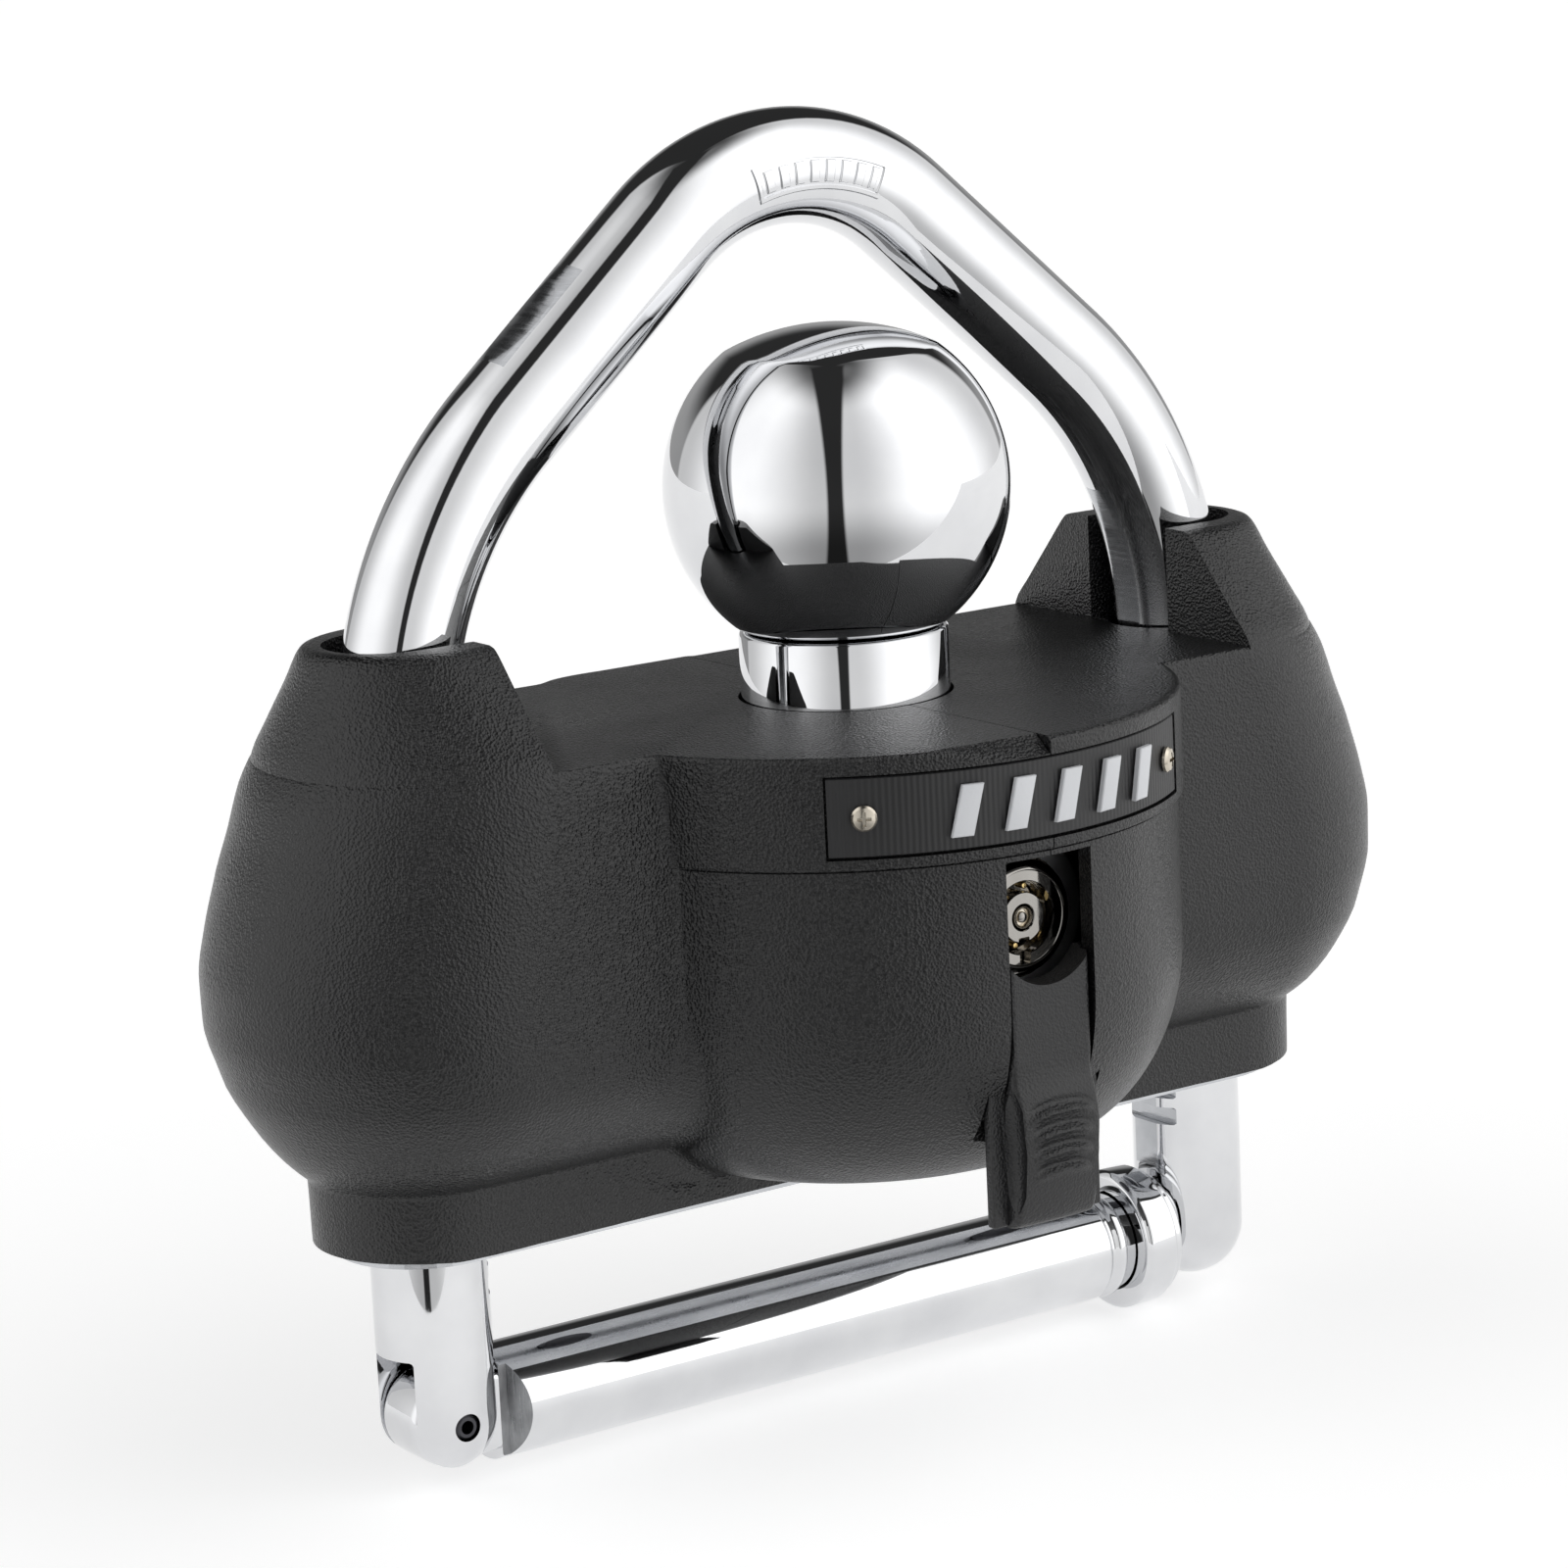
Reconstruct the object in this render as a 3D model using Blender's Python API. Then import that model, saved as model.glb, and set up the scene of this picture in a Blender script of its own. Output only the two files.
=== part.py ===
"""Trailer coupler lock: a fixed coupler ball on a two-leg lock body, with a U shackle and a swinging crossbar.

X runs from the left leg to the right leg, -Y is the keyhole side and Z is up. Every length below is in
millimetres, counted from a point midway between the shackle's leg tips. The finished pieces are placed from
the centre of the whole lock's base instead, which FRAME_ORIGIN gives.
"""

import math

import bmesh
import bpy
from mathutils import Matrix, Vector

MM = 0.001
GAP = 0.3
FRAME_ORIGIN = (0.0, -13.83, -2.45)

# Shackle
LEG_RADIUS = 7.95
LEG_X = 65.5
BEND_START_Z = 98.5
BEND_RADIUS = 56.0
BEND_ANGLE = math.radians(49.0)
APEX_RADIUS = 30.5
NOTCH_PITCH = 4.0
NOTCH_HEIGHT = 2.6
NOTCH_DEPTH = 2.0
NOTCHES_BELOW_LOCK = 12
NOTCHES_ABOVE_LOCK = 2
BORE_RADIUS = 8.25
LEG_HOLE_RADIUS = 9.0

# Hinge between the left leg and the crossbar
PIN_Z = 7.95
PIN_RADIUS = 1.7
PIN_BORE_RADIUS = 0.9
PIN_LENGTH = 15.2
SLOT_HALF = 4.95
SLOT_TOP_Z = 17.7
TONGUE_HALF = 4.65
TONGUE_RADIUS = 6.4
SHOULDER_REACH = 8.3
BAR_END_X = 56.9
COLLAR_RADIUS = 10.4
COLLAR_START_X = 49.8
COLLAR_SEAT_RADIUS = 7.2

# Plastic covers
DECK_Z = 99.5
TOWER_TOP_Z = 114.5
TOWER_FACE_X = 58.0
SKIRT_BOTTOM_Z = 32.0
WALL = 2.8
# height, half depth, and how far the round end's centre lies inside the leg axis
SLAB_SECTIONS = (
    (32.0, 14.7, 0.0),
    (32.6, 15.3, 0.0),
    (43.0, 15.5, 0.0),
    (44.2, 17.8, 0.8),
    (46.5, 21.0, 1.9),
    (51.0, 25.0, 2.7),
    (58.0, 28.2, 2.4),
    (65.0, 29.0, 1.3),
    (71.0, 29.0, 1.2),
    (77.0, 29.0, 2.4),
    (84.0, 29.0, 4.6),
    (90.0, 28.6, 6.5),
    (96.0, 28.0, 8.0),
    (99.5, 27.4, 9.4),
    (104.0, 23.6, 7.6),
    (110.0, 18.2, 5.0),
    (113.8, 14.8, 3.0),
    (114.5, 13.9, 2.8),
)
DRUM_Y = -10.4
DRUM_RADIUS = 45.0
BAND_RADIUS = 45.8
BAND_BOTTOM_Z = 84.5
BOWL_TOP_Z = 64.0
BOWL_BOTTOM_Z = 37.0
BOWL_FLAT_RADIUS = 24.0
DRUM_BACK_Y = 29.5
SEAM_HALF = 0.15
SLOT_HALF_X = 7.0
SLOT_CEILING_Z = 83.5

# Coupler ball
BALL_RADIUS = 23.81
BALL_Z = 128.1
CREASE_RISE = 18.8
CROWN_RADIUS = 32.9
NECK_RADIUS = 14.4
NECK_TOP_Z = 108.8
STUD_RADIUS = 8.0
STUD_END_Z = 83.6

# Core block
CORE_TOP_Z = 96.0
CORE_BOTTOM_Z = 54.0
CORE_HALF_X = 77.0
CORE_HALF_Y = 13.0
RELIEF_Z = 89.5
NUT_SEAT_Z = 92.0

# Key cylinder and locking pawls
LOCK_Z = 74.0
BEZEL_FRONT_Y = -49.3
BARREL_BACK_Y = -24.0
BARREL_RADIUS = 7.5
PLUG_RADIUS = 4.65
POST_RADIUS = 1.5
CORE_FACE_RADIUS = 3.4
GROOVE_FLOOR_Y = -45.0
CAM_HALF_X = 6.0
CAM_HALF_Z = 8.0
CAM_HALF_Y = 3.8
PAWL_THROW = 2.0
PAWL_HEAD_END_X = 20.0
PAWL_REST_TIP_X = 57.2
SPRING_SEAT_X = 34.0

# Label plate
LABEL_ANGLE = 39.0
LABEL_BOTTOM_Z = 86.2
LABEL_TOP_Z = 96.8
LABEL_SCREW_ANGLE = 33.0
LABEL_Z = 0.5 * (LABEL_BOTTOM_Z + LABEL_TOP_Z)
LABEL_OUTER_RADIUS = 45.6

# Dust cover
DUST_HALF_X = 6.6
DUST_RAIL_HALF_X = 9.0
DUST_RAIL_FRONT_Y = -51.9
DUST_RAIL_BACK_Y = -50.4
DUST_BOTTOM_Z = 33.3
DUST_TOP_Z = 69.9
DUST_TRAVEL = 13.4


def clear_scene():
    for obj in list(bpy.data.objects):
        bpy.data.objects.remove(obj, do_unlink=True)


def collection(name):
    made = bpy.data.collections.new(name)
    bpy.context.scene.collection.children.link(made)
    return made


def material(name, colour, roughness, metallic):
    made = bpy.data.materials.new(name)
    made.use_nodes = True
    shader = made.node_tree.nodes["Principled BSDF"]
    shader.inputs["Base Color"].default_value = (*colour, 1.0)
    shader.inputs["Roughness"].default_value = roughness
    shader.inputs["Metallic"].default_value = metallic
    made.diffuse_color = (*colour, 1.0)
    return made


def finish_mesh(shape):
    """Closes a bmesh off as a clean, outward-facing mesh in metres."""
    bmesh.ops.remove_doubles(shape, verts=shape.verts, dist=0.0005)
    bmesh.ops.recalc_face_normals(shape, faces=shape.faces)
    mesh = bpy.data.meshes.new("shape")
    shape.to_mesh(mesh)
    shape.free()
    return mesh


def solid(mesh, name="cutter"):
    obj = bpy.data.objects.new(name, mesh)
    PARTS.objects.link(obj)
    return obj


def box(x0, x1, y0, y1, z0, z1):
    shape = bmesh.new()
    bmesh.ops.create_cube(shape, size=1.0)
    bmesh.ops.scale(shape, vec=(x1 - x0, y1 - y0, z1 - z0), verts=shape.verts)
    centre = Vector((0.5 * (x0 + x1), 0.5 * (y0 + y1), 0.5 * (z0 + z1)))
    bmesh.ops.translate(shape, vec=centre, verts=shape.verts)
    return solid(finish_mesh(shape))


def skin(rings):
    """A solid through a stack of rings, each a list of the same number of points."""
    shape = bmesh.new()
    stack = [[shape.verts.new(point) for point in ring] for ring in rings]
    count = len(stack[0])
    for lower, upper in zip(stack, stack[1:]):
        for i in range(count):
            j = (i + 1) % count
            shape.faces.new((lower[i], lower[j], upper[j], upper[i]))
    shape.faces.new(stack[0])
    shape.faces.new(stack[-1])
    return solid(finish_mesh(shape))


def lathe(profile, steps, axis="Z", centre=(0.0, 0.0, 0.0)):
    """Turns (radius, height) points round an axis: Z up, Y away from the keyhole side, or X to the right."""
    shape = bmesh.new()
    points = [shape.verts.new((radius, 0.0, height)) for radius, height in profile]
    edges = [shape.edges.new(pair) for pair in zip(points, points[1:])]
    if profile[0][0] > 0.0:
        edges.append(shape.edges.new((points[-1], points[0])))
    bmesh.ops.spin(
        shape,
        geom=points + edges,
        cent=(0.0, 0.0, 0.0),
        axis=(0.0, 0.0, 1.0),
        angle=math.tau,
        steps=steps,
        use_merge=True,
    )
    turn = {
        "Z": Matrix.Identity(4),
        "Y": Matrix.Rotation(math.radians(-90.0), 4, "X"),
        "X": Matrix.Rotation(math.radians(90.0), 4, "Y"),
    }[axis]
    shape.transform(Matrix.Translation(centre) @ turn)
    return solid(finish_mesh(shape))


def rod(radius, start, end, steps, axis="Z", centre=(0.0, 0.0, 0.0)):
    return lathe([(0.0, start), (radius, start), (radius, end), (0.0, end)], steps, axis, centre)


def tube(outer, inner, start, end, steps, axis="Z", centre=(0.0, 0.0, 0.0)):
    profile = [(outer, start), (outer, end), (inner, end), (inner, start)]
    return lathe(profile, steps, axis, centre)


def sector(inner, outer, z0, z1, angle, steps):
    """A band of the drum's wall, reaching the same angle to both sides of the keyhole side."""
    rings = []
    for i in range(steps + 1):
        turn = math.radians(-angle + 2.0 * angle * i / steps)
        rings.append(
            [
                (radius * math.sin(turn), DRUM_Y - radius * math.cos(turn), z)
                for radius, z in ((inner, z0), (outer, z0), (outer, z1), (inner, z1))
            ]
        )
    return skin(rings)


def slab_ring(half_depth, inset, z, segments=36):
    ring = []
    for i in range(segments):
        turn = math.tau * (i + 0.5) / segments
        side = math.copysign(LEG_X - inset, math.cos(turn))
        ring.append((side + half_depth * math.cos(turn), half_depth * math.sin(turn), z))
    return ring


def extrude_profile(points, x0, x1):
    """A (y, z) outline drawn out along X."""
    return skin([[(x, y, z) for y, z in points] for x in (x0, x1)])


def is_closed(mesh):
    shape = bmesh.new()
    shape.from_mesh(mesh)
    bmesh.ops.remove_doubles(shape, verts=shape.verts, dist=0.0005)
    found = all(len(edge.link_faces) == 2 for edge in shape.edges)
    shape.free()
    return found


def boolean_mesh(target, other, operation, solver):
    modifier = target.modifiers.new("boolean", "BOOLEAN")
    modifier.operation = operation
    modifier.solver = solver
    modifier.object = other
    graph = bpy.context.evaluated_depsgraph_get()
    mesh = bpy.data.meshes.new_from_object(target.evaluated_get(graph))
    target.modifiers.clear()
    return mesh


def combine(target, others, operation):
    """Exact Booleans one after another, with the manifold solver where an exact one leaves an open edge."""
    for other in others:
        mesh = boolean_mesh(target, other, operation, "EXACT")
        if not is_closed(mesh):
            mesh = boolean_mesh(target, other, operation, "MANIFOLD")
        target.data = mesh
        bpy.data.objects.remove(other, do_unlink=True)
    return target


def cut(target, *others):
    return combine(target, others, "DIFFERENCE")


def join(target, *others):
    return combine(target, others, "UNION")


def keep(target, other):
    return combine(target, [other], "INTERSECT")


def copy_of(obj):
    return solid(obj.data.copy())


def node(obj, name, finish, origin=(0.0, 0.0, 0.0), round_shape=True):
    """Names a finished piece, puts its origin on its axis and turns it into metres."""
    shape = bmesh.new()
    shape.from_mesh(obj.data)
    bmesh.ops.remove_doubles(shape, verts=shape.verts, dist=0.0005)
    bmesh.ops.dissolve_degenerate(shape, edges=shape.edges, dist=0.0005)
    bmesh.ops.translate(shape, vec=-Vector(origin), verts=shape.verts)
    bmesh.ops.scale(shape, vec=(MM, MM, MM), verts=shape.verts)
    for face in shape.faces:
        face.smooth = round_shape
    for edge in shape.edges:
        edge.smooth = len(edge.link_faces) == 2 and edge.calc_face_angle(0.0) < math.radians(32.0)
    mesh = bpy.data.meshes.new(name)
    shape.to_mesh(mesh)
    shape.free()
    mesh.materials.clear()
    mesh.materials.append(finish)
    obj.data = mesh
    obj.name = name
    obj.location = (Vector(origin) - Vector(FRAME_ORIGIN)) * MM
    return obj


def half_path(side):
    """Centre line of one half of the shackle, from just above the leg tip up to the apex."""
    points = [(side * LEG_X, z) for z in (LEG_RADIUS, BEND_START_Z)]
    steps = 8
    for i in range(1, steps + 1):
        turn = BEND_ANGLE * i / steps
        x = LEG_X - BEND_RADIUS * (1.0 - math.cos(turn))
        points.append((side * x, BEND_START_Z + BEND_RADIUS * math.sin(turn)))
    arm_x, arm_z = points[-1]
    reach = abs(arm_x) - APEX_RADIUS * math.cos(BEND_ANGLE)
    apex_start_z = arm_z + reach / math.tan(BEND_ANGLE)
    centre_z = apex_start_z - APEX_RADIUS * math.sin(BEND_ANGLE)
    steps = 5
    for i in range(steps):
        turn = BEND_ANGLE + (0.5 * math.pi - BEND_ANGLE) * i / steps
        points.append((side * APEX_RADIUS * math.cos(turn), centre_z + APEX_RADIUS * math.sin(turn)))
    return points, (0.0, centre_z + APEX_RADIUS)


def swept_shackle(segments=24):
    left, apex = half_path(-1)
    right, _ = half_path(1)
    path = left + [apex] + right[::-1]
    rings = []
    for i, (x, z) in enumerate(path):
        before = path[max(i - 1, 0)]
        after = path[min(i + 1, len(path) - 1)]
        along = Vector((after[0] - before[0], 0.0, after[1] - before[1])).normalized()
        across = Vector((along.z, 0.0, -along.x))
        ring = []
        for k in range(segments):
            turn = math.tau * k / segments
            offset = across * math.cos(turn) + Vector((0.0, 1.0, 0.0)) * math.sin(turn)
            ring.append(Vector((x, 0.0, z)) + offset * LEG_RADIUS)
        rings.append(ring)
    dome = []
    for step in (1, 2, 3, 4):
        turn = math.radians(20.0 * step)
        dome.append((math.cos(turn), LEG_RADIUS * math.sin(turn)))
    left_leg, right_leg = rings[0], rings[-1]
    tips_left = [
        [Vector((-LEG_X + (p.x + LEG_X) * s, p.y * s, p.z - drop)) for p in left_leg]
        for s, drop in reversed(dome)
    ]
    tips_right = [
        [Vector((LEG_X + (p.x - LEG_X) * s, p.y * s, p.z - drop)) for p in right_leg]
        for s, drop in dome
    ]
    return skin(tips_left + rings + tips_right)


def build_shackle(chrome, steel):
    shackle = swept_shackle()
    for side in (-1, 1):
        for k in range(-NOTCHES_BELOW_LOCK, NOTCHES_ABOVE_LOCK + 1):
            z = LOCK_Z + k * NOTCH_PITCH
            inner = side * (LEG_X - LEG_RADIUS - 3.0)
            floor = side * (LEG_X - LEG_RADIUS + NOTCH_DEPTH)
            low, high = sorted((inner, floor))
            cut(shackle, box(low, high, -9.0, 9.0, z - 0.5 * NOTCH_HEIGHT, z + 0.5 * NOTCH_HEIGHT))
    cut(shackle, box(-LEG_X - 9.0, -LEG_X + 9.0, -SLOT_HALF, SLOT_HALF, -2.0, SLOT_TOP_Z))
    cut(shackle, rod(PIN_RADIUS + 0.15, -9.0, 9.0, 16, "Y", (-LEG_X, 0.0, PIN_Z)))
    node(shackle, "shackle", chrome)

    half = 0.5 * PIN_LENGTH
    pin = tube(PIN_RADIUS, PIN_BORE_RADIUS, -half, half, 16, "Y", (-LEG_X, 0.0, PIN_Z))
    node(pin, "hinge_pin", steel, (-LEG_X, 0.0, PIN_Z))


def build_crossbar(chrome):
    start = -LEG_X + SHOULDER_REACH
    neck = COLLAR_START_X - GAP
    profile = [
        (0.0, start),
        (5.6, start),
        (LEG_RADIUS, start + 2.4),
        (LEG_RADIUS, neck - 4.4),
        (LEG_RADIUS - 0.7, neck - 4.0),
        (LEG_RADIUS - 0.7, neck - 3.4),
        (LEG_RADIUS, neck - 3.0),
        (LEG_RADIUS, neck - 1.8),
        (COLLAR_SEAT_RADIUS, neck - 1.4),
        (COLLAR_SEAT_RADIUS, BAR_END_X - 0.6),
        (COLLAR_SEAT_RADIUS - 0.6, BAR_END_X),
        (0.0, BAR_END_X),
    ]
    bar = lathe(profile, 24, "X", (0.0, 0.0, PIN_Z))
    tongue = rod(TONGUE_RADIUS, -TONGUE_HALF, TONGUE_HALF, 24, "Y", (-LEG_X, 0.0, PIN_Z))
    web = box(
        -LEG_X,
        start + 1.5,
        -TONGUE_HALF,
        TONGUE_HALF,
        PIN_Z - TONGUE_RADIUS * 0.86,
        PIN_Z + TONGUE_RADIUS * 0.86,
    )
    join(tongue, web)
    join(bar, tongue)
    cut(bar, rod(PIN_RADIUS + GAP, -9.0, 9.0, 16, "Y", (-LEG_X, 0.0, PIN_Z)))
    node(bar, "crossbar", chrome, (-LEG_X, 0.0, PIN_Z))

    profile = [
        (COLLAR_RADIUS - 0.8, COLLAR_START_X),
        (COLLAR_RADIUS, COLLAR_START_X + 0.8),
        (COLLAR_RADIUS, BAR_END_X - 2.0),
        (COLLAR_RADIUS - 0.8, BAR_END_X - 1.6),
        (COLLAR_RADIUS - 0.8, BAR_END_X - 0.3),
        (COLLAR_RADIUS - 1.2, BAR_END_X - 0.1),
        (COLLAR_SEAT_RADIUS + GAP, BAR_END_X - 0.1),
        (COLLAR_SEAT_RADIUS + GAP, COLLAR_START_X),
    ]
    collar = lathe(profile, 28, "X", (0.0, 0.0, PIN_Z))
    node(collar, "crossbar_collar", chrome, (-LEG_X, 0.0, PIN_Z))


def drum_profile(offset, top_z):
    """The drum's outline, or its inside when offset is the wall."""
    profile = [(0.0, top_z), (DRUM_RADIUS - offset, top_z)]
    if offset == 0.0:
        profile[-1] = (BAND_RADIUS, top_z)
        profile += [(BAND_RADIUS, BAND_BOTTOM_Z + 0.3), (DRUM_RADIUS, BAND_BOTTOM_Z - 0.5)]
    steps = 6
    for i in range(steps + 1):
        turn = 0.5 * math.pi * i / steps
        radius = BOWL_FLAT_RADIUS + (DRUM_RADIUS - BOWL_FLAT_RADIUS) * math.cos(turn)
        z = BOWL_TOP_Z - (BOWL_TOP_Z - BOWL_BOTTOM_Z) * math.sin(turn)
        profile.append((radius - offset * math.cos(turn), z + offset * math.sin(turn)))
    profile.append((0.0, profile[-1][1]))
    return profile


def build_covers(plastic):
    outer = skin([slab_ring(half, inset, z) for z, half, inset in SLAB_SECTIONS])
    drum = lathe(drum_profile(0.0, DECK_Z + 1.0), 56, "Z", (0.0, DRUM_Y, 0.0))
    cut(drum, box(-60.0, 60.0, DRUM_BACK_Y, 60.0, 20.0, 120.0))
    join(outer, drum)
    cut(outer, box(-TOWER_FACE_X, TOWER_FACE_X, -60.0, 60.0, DECK_Z, 130.0))

    inside = [(half - WALL, inset, z) for z, half, inset in SLAB_SECTIONS if z < DECK_Z]
    top_half, top_inset, _ = inside[-1]
    inside = inside[:4] + inside[5::2] + [inside[-1], (top_half, top_inset, DECK_Z)]
    inside[0] = (inside[1][0], 0.0, SKIRT_BOTTOM_Z - 5.0)
    hollow = skin([slab_ring(half, inset, z, 32) for half, inset, z in inside])
    drum_hollow = lathe(drum_profile(WALL, DECK_Z), 36, "Z", (0.0, DRUM_Y, 0.0))
    cut(drum_hollow, box(-60.0, 60.0, DRUM_BACK_Y - WALL, 60.0, 20.0, 120.0))
    join(hollow, drum_hollow)
    cut(hollow, box(-120.0, 120.0, -80.0, 60.0, DECK_Z - 3.0, 120.0))
    cut(outer, hollow)
    for side in (-1, 1):
        cut(outer, rod(LEG_HOLE_RADIUS, 80.0, 125.0, 28, "Z", (side * LEG_X, 0.0, 0.0)))
        near, far = sorted((side * 50.0, side * LEG_X))
        half = LEG_HOLE_RADIUS - 0.02
        cut(outer, box(near, far, -half, half, DECK_Z + 0.4, 125.0))
    cut(outer, rod(NECK_RADIUS + 0.4, 90.0, 105.0, 32, "Z", (0.0, DRUM_Y, 0.0)))
    cut(outer, box(-SLOT_HALF_X, SLOT_HALF_X, -62.0, -48.5, 20.0, SLOT_CEILING_Z))
    groove = DUST_RAIL_HALF_X + 0.35
    cut(outer, box(-groove, groove, DUST_RAIL_FRONT_Y - GAP, -48.3, 21.0, DUST_TOP_Z + DUST_TRAVEL + 0.7))
    recess = sector(
        LABEL_OUTER_RADIUS - 1.3, 52.0, LABEL_BOTTOM_Z - GAP, LABEL_TOP_Z + GAP, LABEL_ANGLE + 0.5, 16
    )
    cut(outer, recess)
    for side in (-1, 1):
        cut(outer, radial_rod(1.2, 38.0, 48.0, side * LABEL_SCREW_ANGLE, 12))

    right = copy_of(outer)
    left = keep(outer, box(-120.0, -SEAM_HALF, -80.0, 60.0, 0.0, 140.0))
    keep(right, box(SEAM_HALF, 120.0, -80.0, 60.0, 0.0, 140.0))
    node(left, "left_cover", plastic)
    node(right, "right_cover", plastic)


def radial_rod(radius, start, end, angle, steps):
    """A rod pointing out of the drum at the label's height; angle 0 is the keyhole side."""
    made = rod(radius, start, end, steps)
    turn = Matrix.Rotation(math.radians(angle), 4, "Z") @ Matrix.Rotation(math.radians(90.0), 4, "X")
    made.data.transform(Matrix.Translation((0.0, DRUM_Y, LABEL_Z)) @ turn)
    return made


def build_core(zinc):
    core = box(-CORE_HALF_X, CORE_HALF_X, -CORE_HALF_Y, CORE_HALF_Y, CORE_BOTTOM_Z, CORE_TOP_Z)
    join(core, box(-20.0, 20.0, -26.0, 0.0, 60.0, CORE_TOP_Z))
    join(core, rod(11.5, -46.2, -20.0, 32, "Y", (0.0, 0.0, LOCK_Z)))
    for side in (-1, 1):
        relief = LEG_HOLE_RADIUS + 0.4
        profile = [(0.0, 40.0), (BORE_RADIUS, 40.0), (BORE_RADIUS, RELIEF_Z)]
        profile += [(relief, RELIEF_Z), (relief, 110.0), (0.0, 110.0)]
        cut(core, lathe(profile, 28, "Z", (side * LEG_X, 0.0, 0.0)))
        cut(core, rod(2.3, 40.0, 66.0, 12, "Z", (side * 40.0, 0.0, 0.0)))
    cut(core, rod(STUD_RADIUS + 0.4, 80.0, 110.0, 28, "Z", (0.0, DRUM_Y, 0.0)))
    cut(core, rod(13.2, 40.0, NUT_SEAT_Z, 32, "Z", (0.0, DRUM_Y, 0.0)))
    cut(core, box(-9.2, 9.2, -12.0, 7.0, 40.0, 83.2))
    cut(core, rod(BARREL_RADIUS + GAP, -60.0, -15.0, 28, "Y", (0.0, 0.0, LOCK_Z)))
    cut(core, rod(5.0, -SPRING_SEAT_X, SPRING_SEAT_X, 20, "X", (0.0, 0.0, LOCK_Z)))
    cut(core, rod(2.85, -62.0, 62.0, 20, "X", (0.0, 0.0, LOCK_Z)))
    cut(core, rod(1.7, 50.0, 70.0, 12, "Z", (0.0, -36.0, 0.0)))
    node(core, "lock_core", zinc)


def build_base(steel, dark_steel):
    ring = [slab_ring(15.5 - WALL - GAP, 0.0, z) for z in (SKIRT_BOTTOM_Z + 0.4, SKIRT_BOTTOM_Z + 3.4)]
    plate = skin(ring)
    for side in (-1, 1):
        cut(plate, rod(BORE_RADIUS + 0.1, 20.0, 50.0, 28, "Z", (side * LEG_X, 0.0, 0.0)))
        cut(plate, rod(2.3, 20.0, 50.0, 12, "Z", (side * 40.0, 0.0, 0.0)))
    node(plate, "base_plate", steel)
    for side, name in ((-1, "base_screw_left"), (1, "base_screw_right")):
        head = SKIRT_BOTTOM_Z + 0.1
        profile = [(0.0, 64.0), (2.0, 64.0), (2.0, head), (4.4, head), (4.0, head - 2.2), (0.0, head - 2.2)]
        screw = lathe(profile, 16, "Z", (side * 40.0, 0.0, 0.0))
        node(screw, name, dark_steel, (side * 40.0, 0.0, head))


def build_ball(chrome, steel):
    crease_radius = math.sqrt(BALL_RADIUS**2 - CREASE_RISE**2)
    crown_centre = BALL_Z + CREASE_RISE - math.sqrt(CROWN_RADIUS**2 - crease_radius**2)
    crown_angle = math.asin(crease_radius / CROWN_RADIUS)
    profile = []
    for i in range(4):
        turn = crown_angle * i / 3
        profile.append((CROWN_RADIUS * math.sin(turn), crown_centre + CROWN_RADIUS * math.cos(turn)))
    start = math.acos(CREASE_RISE / BALL_RADIUS)
    seat_z = NECK_TOP_Z + GAP
    end = math.acos((seat_z - BALL_Z) / BALL_RADIUS)
    steps = 11
    for i in range(1, steps + 1):
        turn = start + (end - start) * i / steps
        profile.append((BALL_RADIUS * math.sin(turn), BALL_Z + BALL_RADIUS * math.cos(turn)))
    profile += [(STUD_RADIUS, seat_z), (STUD_RADIUS, STUD_END_Z + 1.0)]
    profile += [(STUD_RADIUS - 1.0, STUD_END_Z), (0.0, STUD_END_Z)]
    ball = lathe(profile, 32, "Z", (0.0, DRUM_Y, 0.0))
    node(ball, "coupler_ball", chrome, (0.0, DRUM_Y, BALL_Z))

    sleeve = tube(NECK_RADIUS, STUD_RADIUS + 0.4, CORE_TOP_Z + GAP, NECK_TOP_Z, 32, "Z", (0.0, DRUM_Y, 0.0))
    node(sleeve, "neck_sleeve", chrome)
    washer = tube(12.4, STUD_RADIUS + 0.4, 90.2, 91.7, 28, "Z", (0.0, DRUM_Y, 0.0))
    node(washer, "stud_washer", steel)
    nut = tube(12.2, STUD_RADIUS + GAP, 84.2, 89.9, 6, "Z", (0.0, DRUM_Y, 0.0))
    bore = rod(STUD_RADIUS + GAP, 80.0, 95.0, 24, "Z", (0.0, DRUM_Y, 0.0))
    cut(nut, bore)
    node(nut, "stud_nut", steel)


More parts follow.
